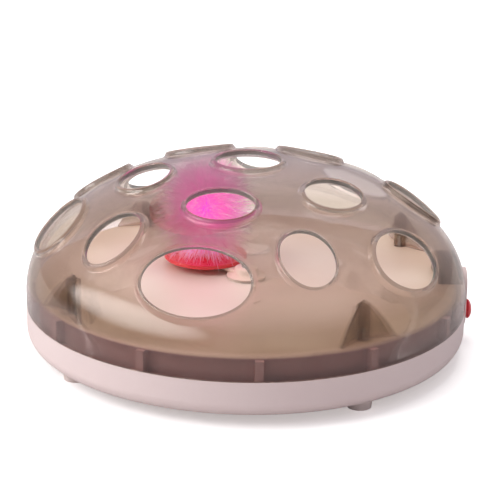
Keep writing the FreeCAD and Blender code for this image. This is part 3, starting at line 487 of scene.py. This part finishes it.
# %% [markdown]
# ## The dome's curve
#
# The dome is one moulding: an upright wall that turns into three arcs, each meeting the next
# without a kink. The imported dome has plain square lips, but light in clear plastic shows every
# rounding, so the dome is modelled again here on the same curve. First come the arcs, and a
# function that tells how far a point lies outside the curved surface.

# %% Work out the dome's arcs
MM = 0.001
DOME_RADIUS, DOME_FOOT, SPRING = 140 * MM, 29 * MM, 37.5 * MM
CROWN_RISE, SHOULDER = 82.5 * MM, 52.5 * MM
DOME_WALL = 2.5 * MM
ARC_ENDS = [0.0, math.radians(39.2), math.radians(68.6), math.pi / 2]


def dome_arcs():
    """Centre, radius and end angles of each arc, from the upright wall to the top."""
    low, high = ARC_ENDS[1:3]
    across = DOME_RADIUS - SHOULDER * (1 - math.cos(low))
    up = CROWN_RISE - SHOULDER * math.sin(low)
    mid_across, mid_up = math.cos(low) - math.cos(high), math.sin(high) - math.sin(low)
    top_across, top_up = math.cos(high), 1 - math.sin(high)
    both = mid_across * top_up - top_across * mid_up
    radii = [SHOULDER, (across * top_up - top_across * up) / both,
             (mid_across * up - mid_up * across) / both]
    reach, height, arcs = DOME_RADIUS - SHOULDER, SPRING, []
    for index, radius in enumerate(radii):
        arcs.append((reach, height, radius, ARC_ENDS[index], ARC_ENDS[index + 1]))
        if index < 2:
            step, turn = radius - radii[index + 1], ARC_ENDS[index + 1]
            reach, height = reach + step * math.cos(turn), height + step * math.sin(turn)
    return arcs


DOME_ARCS = dome_arcs()


def arc_at(point):
    """The arc that a point lies nearest to, and the point's reach from the dome's axis."""
    out = math.hypot(point.x, point.y)
    for arc in DOME_ARCS:
        if math.atan2(point.z - arc[1], out - arc[0]) <= arc[4]:
            break
    return arc, out


def rise(point):
    """How far a point lies outside the dome's surface."""
    if point.z <= SPRING:
        return math.hypot(point.x, point.y) - DOME_RADIUS
    arc, out = arc_at(point)
    return math.hypot(out - arc[0], point.z - arc[1]) - arc[2]


def facing(point):
    """The way straight out of the dome's surface at a point."""
    arc, out = arc_at(point)
    up = 0.0 if point.z <= SPRING else point.z - arc[1]
    flat = 1.0 if point.z <= SPRING else out - arc[0]
    return Vector((point.x / out * flat, point.y / out * flat, up)).normalized()


def settle(point, way, offset):
    """Moves a point along a way until it lies at an offset from the dome's surface."""
    for _ in range(8):
        point = point + way * ((offset - rise(point)) / max(0.2, way.dot(facing(point))))
    return point


print("arc radii in mm:", [round(arc[2] / MM, 2) for arc in DOME_ARCS])

# %% [markdown]
# ## Lips
#
# Every hole is edged with a lip that stands 3 mm out of the dome, with a rounded crest, a
# hollow where it runs into the wall and a rounded edge inside. Its section is a list of steps:
# how far outside the hole's edge, and how far outside the dome's surface. The top hole's lip is
# part of the profile that is spun, and the fifteen oval ones are grown loop by loop.

# %% State the lip's section and the holes
LIP_SECTION = [(3.1, -2.5), (2.4, -2.35), (1.7, -1.98), (1.1, -1.5), (0.6, -0.95), (0.22, -0.4),
               (0.03, 0.15), (0.0, 0.7), (0.0, 1.8), (0.06, 2.25), (0.25, 2.65), (0.6, 2.9),
               (1.1, 3.0), (1.6, 2.93), (2.05, 2.7), (2.4, 2.3), (2.7, 1.75), (3.0, 1.15),
               (3.4, 0.6), (3.9, 0.22), (4.6, 0.0)]
INNER_STEPS = range(6, 10)             # the steps of the section that line the hole
HOLE_ROWS = {"upper": (73.2, 21.0, 16.5), "middle": (54.3, 16.7, 20.2),
             "lower": (46.4, 25.5, 20.0), "front": (46.4, 33.0, 22.4)}
TOP_HOLE = 20.5 * MM
FRONT_COLUMN = -18                     # azimuth of the column with the large front hole
COLUMNS = [-222, -154, -86, FRONT_COLUMN, 50]
BETWEEN = [-188, -120, -52, 16, 94]
LOOP_POINTS = 96
FAR_SIDE = -28 * MM                    # deeper than this, a point isn't on the hole's side


def polar(reach, azimuth, z=0.0):
    """A point from its reach and its azimuth in degrees, counted from the front to the right."""
    turn = math.radians(azimuth)
    return Vector((reach * math.sin(turn), -reach * math.cos(turn), z))


def paw_hole(azimuth, row):
    """Middle, sideways, uphill and outward directions and half sizes of a hole."""
    tilt, wide, tall = HOLE_ROWS[row]
    turn = math.radians(tilt)
    arc = next(a for a in DOME_ARCS if turn <= a[4])
    middle = polar(arc[0] + arc[2] * math.cos(turn), azimuth, arc[1] + arc[2] * math.sin(turn))
    outward, sideways = polar(math.cos(turn), azimuth, math.sin(turn)), polar(1.0, azimuth + 90)
    return middle, sideways, outward.cross(sideways), outward, wide * MM, tall * MM


holes = [paw_hole(azimuth, row) for azimuth in COLUMNS
         for row in ("upper", "front" if azimuth == FRONT_COLUMN else "lower")]
holes += [paw_hole(azimuth, "middle") for azimuth in BETWEEN]


def hole_loop(hole, beyond, offset):
    """Points round a hole, some way beyond its edge and at an offset from the dome's surface."""
    middle, sideways, uphill, outward, wide, tall = hole
    points = []
    for index in range(LOOP_POINTS):
        turn = 2 * math.pi * index / LOOP_POINTS
        start = (middle + sideways * ((wide + beyond) * math.cos(turn))
                 + uphill * ((tall + beyond) * math.sin(turn)))
        points.append(settle(start, outward, offset))
    return points


def oval_reach(point, hole, beyond=0.0):
    """How far out in a hole's oval a point lies: under 1 is inside the oval and its margin."""
    middle, sideways, uphill, outward, wide, tall = hole
    away = point - middle
    if away.dot(outward) < FAR_SIDE:
        return math.inf
    return math.hypot(away.dot(sideways) / (wide + beyond), away.dot(uphill) / (tall + beyond))


def beyond_edge(point, hole):
    """Roughly how far a point lies beyond a hole's edge."""
    return (oval_reach(point, hole) - 1) * (hole[4] + hole[5]) / 2


def in_a_hole(point, beyond):
    """Whether a point lies inside any hole's oval with a margin beyond its edge."""
    return any(oval_reach(point, hole, beyond) < 1 for hole in holes)


print("oval holes:", len(holes))

# %% [markdown]
# ## The dome's shell
#
# One closed profile, up the inside, over the top hole's lip and down the outside, is spun round
# the axis. The grid is then opened round each oval hole, the lip is grown as a chain of loops,
# and the narrow gap that is left on each side is filled with triangles.

# %% Spin the wall
WALL_STEPS, UPRIGHT_STEPS, ROUND_STEPS = 17, 3, 300
LIP_REACH = 6 * MM                     # the wall's own points stop this far from the top hole
FOOT_CHAMFER = 0.3 * MM
LIP_START = 110 * MM                   # height from which the top lip's points move to the dome
TOP_LINING = (-0.5 * MM, 2.4 * MM)     # the top hole's lining lies between these offsets


def wall_profile():
    """The wall's closed section as points (reach, height)."""
    def curve(offset):
        points = [(DOME_RADIUS + offset, DOME_FOOT + (SPRING - DOME_FOOT) * i / UPRIGHT_STEPS)
                  for i in range(UPRIGHT_STEPS)]
        for reach, height, radius, start, end in DOME_ARCS:
            for i in range(WALL_STEPS):
                turn = start + (end - start) * i / WALL_STEPS
                points.append((reach + (radius + offset) * math.cos(turn),
                               height + (radius + offset) * math.sin(turn)))
        return [p for p in points if p[0] > TOP_HOLE + LIP_REACH]

    inside, outside = curve(-DOME_WALL), curve(0.0)
    inside[0] = (inside[0][0] + FOOT_CHAMFER, DOME_FOOT)
    inside.insert(1, (DOME_RADIUS - DOME_WALL, DOME_FOOT + FOOT_CHAMFER))
    outside[0] = (DOME_RADIUS - FOOT_CHAMFER, DOME_FOOT)
    outside.insert(1, (DOME_RADIUS, DOME_FOOT + FOOT_CHAMFER))
    lip = [settle(Vector((TOP_HOLE + beyond * MM, 0, LIP_START)), Vector((0, 0, 1)), offset * MM)
           for beyond, offset in LIP_SECTION]
    return inside + [(p.x, p.z) for p in lip] + outside[::-1]


bm = bmesh.new()
section = [bm.verts.new((x, 0, z)) for x, z in wall_profile()]
for pair in zip(section, section[1:] + section[:1]):
    bm.edges.new(pair)
bmesh.ops.spin(bm, geom=bm.verts[:] + bm.edges[:], cent=(0, 0, 0), axis=(0, 0, 1),
               angle=2 * math.pi, steps=ROUND_STEPS, use_merge=True)
for face in bm.faces:
    middle = face.calc_center_median()
    if middle.xy.length < TOP_HOLE + 0.5 * MM and TOP_LINING[0] < rise(middle) < TOP_LINING[1]:
        face.material_index = 1
print("spun wall:", len(bm.faces), "faces")

# %% Open the oval holes and grow their lips
OPEN_BEYOND = 5.8 * MM                 # the grid is opened this far beyond each hole's edge

bmesh.ops.delete(bm, geom=[v for v in bm.verts if in_a_hole(v.co, OPEN_BEYOND)], context="VERTS")
rims = {}
for edge in (e for e in bm.edges if e.is_boundary):
    middle = (edge.verts[0].co + edge.verts[1].co) / 2
    side = rise(middle) > -DOME_WALL / 2
    nearest = min(range(len(holes)), key=lambda index: beyond_edge(middle, holes[index]))
    rims.setdefault((nearest, side), []).append(edge)
print("rims to fill:", len(rims))


def grow_lip(hole):
    """Grows a lip from its inner loop out to the outer one. Gives both end loops' edges."""
    order = bm.verts.layers.int.get("order") or bm.verts.layers.int.new("order")
    ring = []
    for index, point in enumerate(hole_loop(hole, LIP_SECTION[0][0] * MM, LIP_SECTION[0][1] * MM)):
        ring.append(bm.verts.new(point))
        ring[-1][order] = index
    first = [bm.edges.new(pair) for pair in zip(ring, ring[1:] + ring[:1])]
    last = first
    for step, (beyond, offset) in enumerate(LIP_SECTION[1:], 1):
        points = hole_loop(hole, beyond * MM, offset * MM)
        grown = bmesh.ops.extrude_edge_only(bm, edges=last)["geom"]
        last = [g for g in grown if isinstance(g, bmesh.types.BMEdge)]
        for face in (g for g in grown if isinstance(g, bmesh.types.BMFace)):
            face.material_index = step in INNER_STEPS
        for vertex in (g for g in grown if isinstance(g, bmesh.types.BMVert)):
            vertex.co = points[vertex[order]]
    return first, last


for index, hole in enumerate(holes):
    inner, outer = grow_lip(hole)
    for edges, side in ((inner, False), (outer, True)):
        bmesh.ops.triangle_fill(bm, use_beauty=True, use_dissolve=False, normal=hole[3],
                                edges=edges + rims[index, side])
bmesh.ops.recalc_face_normals(bm, faces=bm.faces)
print("open edges left:", sum(e.is_boundary for e in bm.edges), "faces:", len(bm.faces))

# %% [markdown]
# The surface is smooth between its vertices only if each vertex knows the true direction of the
# dome there, so the main faces get it from the arcs. The lips keep the directions that Blender
# works out, which a direction of zero asks for.


# %% Make the piece of the shell
ON_THE_FACE = 0.001 * MM


def new_piece(name, mesh_maker, finish, body, *replaced, slot, smooth=True):
    """Turns a bmesh into a piece that rides on a body and stands for CAD nodes."""
    mesh = bpy.data.meshes.new(name)
    for face in mesh_maker.faces:
        face.smooth = smooth
    mesh_maker.to_mesh(mesh)
    mesh_maker.free()
    piece = bpy.data.objects.new(name, mesh)
    bpy.context.scene.collection.objects.link(piece)
    mesh.materials.append(finish)
    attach(piece, body)
    if replaced:
        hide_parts(*replaced)
    print(name, len(mesh.polygons), "faces")
    return piece


def true_direction(point):
    """Direction of the dome's inner or outer face at a vertex, or zero on a lip."""
    if abs(rise(point)) < ON_THE_FACE:
        return facing(point)
    if abs(rise(point) + DOME_WALL) < ON_THE_FACE:
        return -facing(point)
    return Vector((0, 0, 0))


dome = new_piece("dome_shell", bm, finishes["smoky_plastic"], "housing", "dome",
                 slot="smoky_plastic")
dome.data.materials.append(finishes["lip_wall_painted_shade"])
dome.data.normals_split_custom_set_from_vertices(
    [true_direction(v.co) for v in dome.data.vertices])

# %% [markdown]
# ## Posts, webs and the switch's pocket
#
# Under the dome stand four screw posts. Each has two thin webs beside it, whose tops fall in an arc
# to the deck and which stop it from flexing. On the right an arched wall keeps the switch apart
# from the chamber. Webs and arch are sheets drawn up from the deck, kept under the dome, and given
# their wall by solidify.

# %% Find the roof over a point
DECK_TOP, POST_FOOT = 43 * MM, 43.3 * MM
LIP_WALL = 2.6 * MM
ROOF_START = 80 * MM                   # height at which the search for the wall starts
SEARCH_STEP, LEAST_RISE = 0.5 * MM, 2 * MM
POST_AT, POST_AZIMUTHS = 124 * MM, (30, 120, 210, 300)


def roof(x, y):
    """Height of the middle of the dome's wall over a point, or less under a hole's lip."""
    point = settle(Vector((x, y, ROOF_START)), Vector((0, 0, 1)), -DOME_WALL / 2)
    while in_a_hole(point, LIP_WALL):
        point.z -= SEARCH_STEP
    return max(point.z, POST_FOOT + LEAST_RISE)


first_post = polar(POST_AT, POST_AZIMUTHS[0])
print("roof over the first post:", round(roof(first_post.x, first_post.y) / MM, 1), "mm")


# %% Stand the posts and webs under the dome
POST_RADIUS, POST_TOP, WEB_TOP = 4.25 * MM, 64 * MM, 67 * MM
WEB_LENGTH, WEB_SPREAD, WEB_STEPS = 21 * MM, 72, 24
WEB_WALL, WEB_FALL, WEB_END = 1.6 * MM, 1.4, 0.4 * MM      # its wall, its arc and its end's height


def add_post(bm, azimuth):
    """A round post from the deck to a top just under the webs' tip."""
    made = bmesh.ops.create_circle(bm, cap_ends=True, radius=POST_RADIUS, segments=40,
                                   matrix=Matrix.Translation(polar(POST_AT, azimuth, DECK_TOP)))
    face = made["verts"][0].link_faces[0]
    grown = bmesh.ops.extrude_face_region(bm, geom=[face])["geom"]
    for vertex in (g for g in grown if isinstance(g, bmesh.types.BMVert)):
        vertex.co.z = min(POST_TOP, roof(vertex.co.x, vertex.co.y))


def add_web(bm, azimuth, side):
    """A thin wall out of a post, with a top that falls in an arc to the deck."""
    start = polar(POST_AT, azimuth)
    way = polar(1.0, azimuth + side * WEB_SPREAD)
    steps = [start + way * (WEB_LENGTH * i / WEB_STEPS) for i in range(WEB_STEPS + 1)]
    steps = [p for p in steps if math.hypot(p.x, p.y) < DOME_RADIUS - DOME_WALL / 2]
    foot = [bm.verts.new((p.x, p.y, POST_FOOT)) for p in steps]
    edges = [bm.edges.new(pair) for pair in zip(foot, foot[1:])]
    grown = bmesh.ops.extrude_edge_only(bm, edges=edges)["geom"]
    for vertex in (g for g in grown if isinstance(g, bmesh.types.BMVert)):
        along = (vertex.co - start).xy.length / WEB_LENGTH
        arc = POST_FOOT + (WEB_TOP - POST_FOOT) * (1 - along ** WEB_FALL)
        vertex.co.z = max(min(arc, roof(vertex.co.x, vertex.co.y)), POST_FOOT + WEB_END)
    faces = [g for g in grown if isinstance(g, bmesh.types.BMFace)]
    bmesh.ops.recalc_face_normals(bm, faces=faces)
    for vertex in {v for f in faces for v in f.verts}:
        vertex.co -= faces[0].normal * (WEB_WALL / 2)
    bmesh.ops.solidify(bm, geom=faces, thickness=-WEB_WALL)


posts = bmesh.new()
for azimuth in POST_AZIMUTHS:
    add_post(posts, azimuth)
    for side in (-1, 1):
        add_web(posts, azimuth, side)
print("posts and webs:", len(posts.faces), "faces")

# %% Make the piece of the posts
bmesh.ops.recalc_face_normals(posts, faces=posts.faces)
new_piece("dome_posts", posts, finishes["smoky_plastic"], "housing", slot="smoky_plastic",
          smooth=False)

# %% Add the pocket round the switch
POCKET_RADIUS, POCKET_TOP, POCKET_BACK, POCKET_WALL = 16 * MM, 60 * MM, 121.5 * MM, 2 * MM
ARCH_STEPS = 32
arch = [(-POCKET_RADIUS, POST_FOOT)]
for index in range(ARCH_STEPS + 1):
    turn = math.pi * index / ARCH_STEPS
    arch.append((-POCKET_RADIUS * math.cos(turn),
                 POCKET_TOP - POCKET_RADIUS + POCKET_RADIUS * math.sin(turn)))
arch.append((POCKET_RADIUS, POST_FOOT))
pocket = bmesh.new()
outline = [pocket.verts.new((POCKET_BACK, y, z)) for y, z in arch]
back = pocket.faces.new(outline)
edges = [pocket.edges.get(pair) for pair in zip(outline, outline[1:])]
grown = bmesh.ops.extrude_edge_only(pocket, edges=edges)["geom"]
for vertex in (g for g in grown if isinstance(g, bmesh.types.BMVert)):
    vertex.co = settle(vertex.co, Vector((1, 0, 0)), -DOME_WALL / 2)
sides = [g for g in grown if isinstance(g, bmesh.types.BMFace)]
bmesh.ops.recalc_face_normals(pocket, faces=sides + [back])
bmesh.ops.solidify(pocket, geom=sides + [back], thickness=POCKET_WALL)
bmesh.ops.recalc_face_normals(pocket, faces=pocket.faces)
new_piece("switch_pocket", pocket, finishes["smoky_deep"], "housing", slot="smoky_plastic",
          smooth=False)

# %% [markdown]
# ## The tuft
#
# The real tuft is a bunch of downy feather barbs tied on a thin stem. Each hair is a narrow
# ribbon. All roots start as short edges in one mesh, and every step of the growth extrudes all of
# them at once. An integer layer remembers which hair a vertex belongs to, so each one can bend
# its own way.

# %% Grow hairs from root edges
HAIR_WIDTH, HAIR_TAPER = 0.32 * MM, 0.16
CLEAR_OF_DOME = -DOME_WALL - 1.2 * MM        # hairs bend along inside the wall, also as they turn


def grow_hairs(roots, steps):
    """Ribbons from roots: each root has a start, a direction, a length, a bend and a tone."""
    bm = bmesh.new()
    number = bm.verts.layers.int.new("number")
    along = bm.verts.layers.float.new("along")
    tone = bm.verts.layers.float.new("tone")
    for index, root in enumerate(roots):
        across = root["across"] * (HAIR_WIDTH / 2)
        pair = [bm.verts.new(root["start"] - across), bm.verts.new(root["start"] + across)]
        for vertex in pair:
            vertex[number], vertex[tone] = index, root["tone"]
        bm.edges.new(pair)
    front = list(bm.edges)
    for step in range(1, steps + 1):
        grown = bmesh.ops.extrude_edge_only(bm, edges=front)["geom"]
        front = [g for g in grown if isinstance(g, bmesh.types.BMEdge)]
        t = step / steps
        for vertex in (g for g in grown if isinstance(g, bmesh.types.BMVert)):
            root = roots[vertex[number]]
            heading = (root["out"] + root["bend"] * (t * t)).normalized()
            vertex.co += heading * (root["length"] / steps)
            if rise(vertex.co) > CLEAR_OF_DOME:
                vertex.co = settle(vertex.co, facing(vertex.co), CLEAR_OF_DOME)
            vertex[along] = t
        for edge in front:
            a, b = edge.verts
            middle, half = (a.co + b.co) / 2, (b.co - a.co) / 2 * (1 - HAIR_TAPER * t)
            a.co, b.co = middle - half, middle + half
    return bm


# %% Make the tuft
tuft_low, tuft_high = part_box("feather_tuft")
tuft_middle = (tuft_low + tuft_high) / 2
TUFT_RADIUS = (tuft_high.x - tuft_low.x) / 2
DOWN_FROM, DOWN_SHORT = 12 * MM, 20 * MM     # the roots keep this far from its foot and its tip
DOWN_HAIRS, STRAY_HAIRS, HAIR_STEPS = 9000, 70, 6
dice = random.Random(7)


def any_way():
    """A random unit vector."""
    while True:
        way = Vector([dice.uniform(-1, 1) for _ in range(3)])
        if 0.1 < way.length < 1:
            return way.normalized()


def down_root():
    """Root of a hair of the down, somewhere on the stem, heading out of it."""
    height = dice.random() ** 0.55
    turn = dice.uniform(0, 2 * math.pi)
    start = Vector((tuft_middle.x, tuft_middle.y,
                    tuft_low.z + DOWN_FROM
                    + height * (tuft_high.z - tuft_low.z - DOWN_FROM - DOWN_SHORT)))
    climb = (height - 0.5) * 2.6 + dice.gauss(0, 0.4)
    out = Vector((math.cos(turn), math.sin(turn), climb)).normalized()
    reach = TUFT_RADIUS * (1.1 - 0.25 * abs(out.z)) * dice.uniform(0.25, 1.15) ** 0.7
    room = ((tuft_high.z + 2 * MM - start.z) / max(out.z, 0.01) if out.z > 0
            else (start.z - tuft_low.z - 1 * MM) / max(-out.z, 0.01))
    # The tone is painted shade: the lower a hair sits on the stem, the paler and duller its pink.
    return {"start": start + out * 0.001, "out": out, "length": min(reach, max(room, 6 * MM)),
            "bend": any_way() * 0.3 + Vector((0, 0, -0.22)),
            "across": out.cross(any_way()).normalized(), "tone": 1 - 0.8 * height * dice.random()}


def stray_root():
    """Root of a long thin hair that hangs over the disc."""
    turn = dice.uniform(0, 2 * math.pi)
    out = Vector((math.cos(turn), math.sin(turn), dice.uniform(-0.5, 0.1))).normalized()
    start = Vector((tuft_middle.x, tuft_middle.y, tuft_low.z + dice.uniform(10, 26) * MM))
    return {"start": start + out * (6 * MM), "out": out, "length": dice.uniform(22, 31) * MM,
            "bend": any_way() * 0.2 + Vector((0, 0, -0.75)),
            "across": out.cross(any_way()).normalized() * 0.7, "tone": 1.0}


hairs = [down_root() for _ in range(DOWN_HAIRS)] + [stray_root() for _ in range(STRAY_HAIRS)]
new_piece("tuft", grow_hairs(hairs, HAIR_STEPS), finishes["feather_pink"], "rotor", "feather_tuft",
          slot="feather_pink", smooth=False)

# %% [markdown]
# ## Arm and button
#
# The arm that carries the disc has a hub with a thin skirt over the deck's guard ring, which
# keeps fluff out of the bearing. The power button is a soft lens. Both are made the same way:
# a round face is extruded again and again, and each new ring gets its own radius and height.


# %% Stack rings into a round body
def stack(bm, rings, segments=64):
    """A round body round the Z axis from rings of (radius, height) in millimetres."""
    made = bmesh.ops.create_circle(bm, cap_ends=True, radius=rings[0][0] * MM, segments=segments,
                                   matrix=Matrix.Translation((0, 0, rings[0][1] * MM)))
    body, face = set(made["verts"]), made["verts"][0].link_faces[0]
    for radius, height in rings[1:]:
        grown = bmesh.ops.extrude_face_region(bm, geom=[face])["geom"]
        face = next(g for g in grown if isinstance(g, bmesh.types.BMFace))
        for vertex in face.verts:
            flat = vertex.co.xy.normalized() * (radius * MM)
            vertex.co = (flat.x, flat.y, height * MM)
        body.update(face.verts)
    return list(body)


# %% Make the arm
ARM_REACH, ARM_WIDTH, ARM_DEPTH, ARM_HEIGHT = 38 * MM, 11 * MM, 2.2 * MM, 46.2 * MM
ARM_AZIMUTH = -139
ARM_END = polar(ARM_REACH, ARM_AZIMUTH)
arm = bmesh.new()
stack(arm, [(11.8, 44.5), (12.5, 44.5), (12.6, 44.7), (12.5, 44.95), (12.0, 45.2), (9.5, 45.7),
            (8.2, 46.3), (7.6, 47.2), (7.5, 49.3), (7.2, 49.9), (6.6, 50.1)])
seat = stack(arm, [(7.6, 45.1), (8.0, 45.3), (8.0, 47.1), (7.6, 47.3)])
bmesh.ops.translate(arm, verts=seat, vec=ARM_END)
bar_place = (Matrix.Translation(ARM_END / 2 + Vector((0, 0, ARM_HEIGHT)))
             @ Matrix.Rotation(math.atan2(ARM_END.y, ARM_END.x), 4, "Z")
             @ Matrix.Diagonal((ARM_REACH, ARM_WIDTH, ARM_DEPTH, 1.0)))
bar = bmesh.ops.create_cube(arm, size=1.0, matrix=bar_place)
bar_edges = list({e for v in bar["verts"] for e in v.link_edges})
bmesh.ops.bevel(arm, geom=bar_edges, offset=0.4 * MM, segments=3, profile=0.5, affect="EDGES",
                material=-1)
bmesh.ops.recalc_face_normals(arm, faces=arm.faces)
new_piece("arm", arm, finishes["cream_plastic"], "rotor", "rotor_arm", slot="cream_plastic")

# %% Make the button's lens
BUTTON_HEIGHT = 20.8 * MM
button = bmesh.new()
stack(button, [(5.6, 139.0), (5.6, 143.2), (6.2, 143.3), (6.4, 143.6), (6.3, 144.0), (5.9, 144.6),
               (5.2, 145.2), (4.0, 145.8), (2.6, 146.15), (1.2, 146.3)], 48)
bmesh.ops.rotate(button, verts=button.verts, cent=(0, 0, 0),
                 matrix=Matrix.Rotation(math.pi / 2, 3, "Y"))
bmesh.ops.translate(button, verts=button.verts, vec=(0, 0, BUTTON_HEIGHT))
bmesh.ops.recalc_face_normals(button, faces=button.faces)
new_piece("button_lens", button, finishes["red_plastic"], "button", "power_button",
          slot="red_plastic")

# %% [markdown]
# ## The studio
#
# A white floor and a white wall behind it. The wall shows as plain white. The floor takes the
# toy's shadow: the camera sees its lit surface and a weaker, slightly warm glow on top.


# %% Build the floor and the wall
def stage_sheet(name, corners, finish):
    bm = bmesh.new()
    bm.faces.new([bm.verts.new(corner) for corner in corners])
    mesh = bpy.data.meshes.new(name)
    bm.to_mesh(mesh)
    bm.free()
    sheet = bpy.data.objects.new(name, mesh)
    bpy.context.scene.collection.objects.link(sheet)
    mesh.materials.append(finish)
    return sheet


def studio_white(name, colour, glow, lit):
    """White that shows as white to the camera and through glass, and is plain paper otherwise."""
    f = new_finish(name)
    paper = f.node("ShaderNodeBsdfDiffuse", None, {"Color": colour})
    shown = f.node("ShaderNodeBsdfDiffuse", None, {"Color": lit})
    light = f.node("ShaderNodeEmission", None, {"Color": glow, "Strength": 1.0})
    both = f.node("ShaderNodeAddShader", None, {0: shown, 1: light})
    seen = f.node("ShaderNodeLightPath", out="Is Camera Ray").most(
        f.node("ShaderNodeLightPath", out="Is Transmission Ray"))
    return close(f, f.node("ShaderNodeMixShader", None, {0: seen, 1: paper, 2: both}))


floor_white = studio_white("floor_white", (0.62, 0.6, 0.6, 1), (0.42, 0.385, 0.375, 1),
                           (0.9, 0.93, 0.94, 1))
wall_white = studio_white("wall_white", (0.64, 0.62, 0.7, 1), (1.0, 1.0, 1.0, 1),
                          (0.0, 0.0, 0.0, 1))
SIDE, WALL_AT, WALL_TOP = 6.0, 2.6, 1.7
stage_sheet("floor", [(-SIDE, -SIDE, 0), (SIDE, -SIDE, 0), (SIDE, SIDE, 0), (-SIDE, SIDE, 0)],
            floor_white)
stage_sheet("wall", [(-SIDE, WALL_AT, 0), (SIDE, WALL_AT, 0), (SIDE, WALL_AT, WALL_TOP),
                     (-SIDE, WALL_AT, WALL_TOP)], wall_white)
print("floor and wall built")

# %% [markdown]
# ## Lamps
#
# A large soft lamp stands on the left, because the base is brightest there and the shadow falls
# to the right. A second one hangs overhead. The soft white patch on the dome's left is the
# reflection of a card that fades out towards its edge and shows in nothing but gloss.


# %% Hang the lamps and the card
def soft_lamp(name, at, size, power, colour=(1, 1, 1), look=(0, 0, 0.05)):
    lamp = bpy.data.objects.new(name, bpy.data.lights.new(name, "AREA"))
    lamp.data.shape, lamp.data.size, lamp.data.energy = "DISK", size, power
    lamp.data.color = colour
    lamp.location = at
    lamp.rotation_mode = "QUATERNION"
    lamp.rotation_quaternion = (Vector(look) - Vector(at)).to_track_quat("-Z", "Y")
    bpy.context.scene.collection.objects.link(lamp)
    return lamp


soft_lamp("key", (-1.9, -0.35, 1.6), 1.9, 42.0, (1.0, 0.98, 0.96)).visible_glossy = False
soft_lamp("overhead", (0.1, 0.5, 2.3), 1.6, 27.0, (1.0, 0.98, 0.95)).visible_glossy = False


def soft_card(name, middle, wide, tall, strength):
    """A card that only shows in gloss: a bright middle that fades out to the edge."""
    f = new_finish(name)
    away = Vector((-middle.x, -middle.y, 0)).normalized()
    across = Vector((-away.y, away.x, 0))
    from_middle = f.node("ShaderNodeVectorMath", {"operation": "SUBTRACT"},
                         {0: place(f), 1: middle})
    parts = [f.node("ShaderNodeVectorMath", {"operation": "DOT_PRODUCT"},
                    {0: from_middle, 1: way / size}, out="Value")
             for way, size in ((across, wide), (Vector((0, 0, 1)), tall))]
    fade = f.node("ShaderNodeMapRange", {"interpolation_type": "SMOOTHSTEP"},
                  {"Value": parts[0] * parts[0] + parts[1] * parts[1], "From Min": 0.0,
                   "From Max": 1.0, "To Min": 1.0, "To Max": 0.0})
    glow = mix(f, fade, (0.0, 0.0, 0.0, 1.0), (1.0, 0.97, 0.95, 1.0))
    shader = f.node("ShaderNodeEmission", None, {"Color": glow, "Strength": strength})
    corners = [middle + across * (a * wide) + Vector((0, 0, b * tall))
               for a, b in ((-1, -1), (1, -1), (1, 1), (-1, 1))]
    card = stage_sheet(name, corners, close(f, shader))
    card.visible_camera = card.visible_diffuse = card.visible_transmission = False
    card.visible_shadow = False


soft_card("card", Vector((-1.6, -0.75, 0.8)), 1.9, 0.62, 10.0)

# %% [markdown]
# ## The air around
#
# The open air gives an even, faintly lilac light. The camera sees it as plain white, also
# through the dome.

# %% Set the world
world = bpy.data.worlds.new("studio")
bpy.context.scene.world = world
sky = Finish(world)
open_air = sky.node("ShaderNodeBackground", None,
                    {"Color": (0.43, 0.42, 0.455, 1), "Strength": 1.0})
white = sky.node("ShaderNodeBackground", None, {"Color": (1, 1, 1, 1), "Strength": 1.0})
seen = sky.node("ShaderNodeLightPath", out="Is Camera Ray").most(
    sky.node("ShaderNodeLightPath", out="Is Transmission Ray"))
sky.node("ShaderNodeOutputWorld", None, {"Surface": sky.node("ShaderNodeMixShader", None,
                                                             {0: seen, 1: open_air, 2: white})})
bpy.context.scene.view_settings.view_transform = "Standard"
print("studio built")
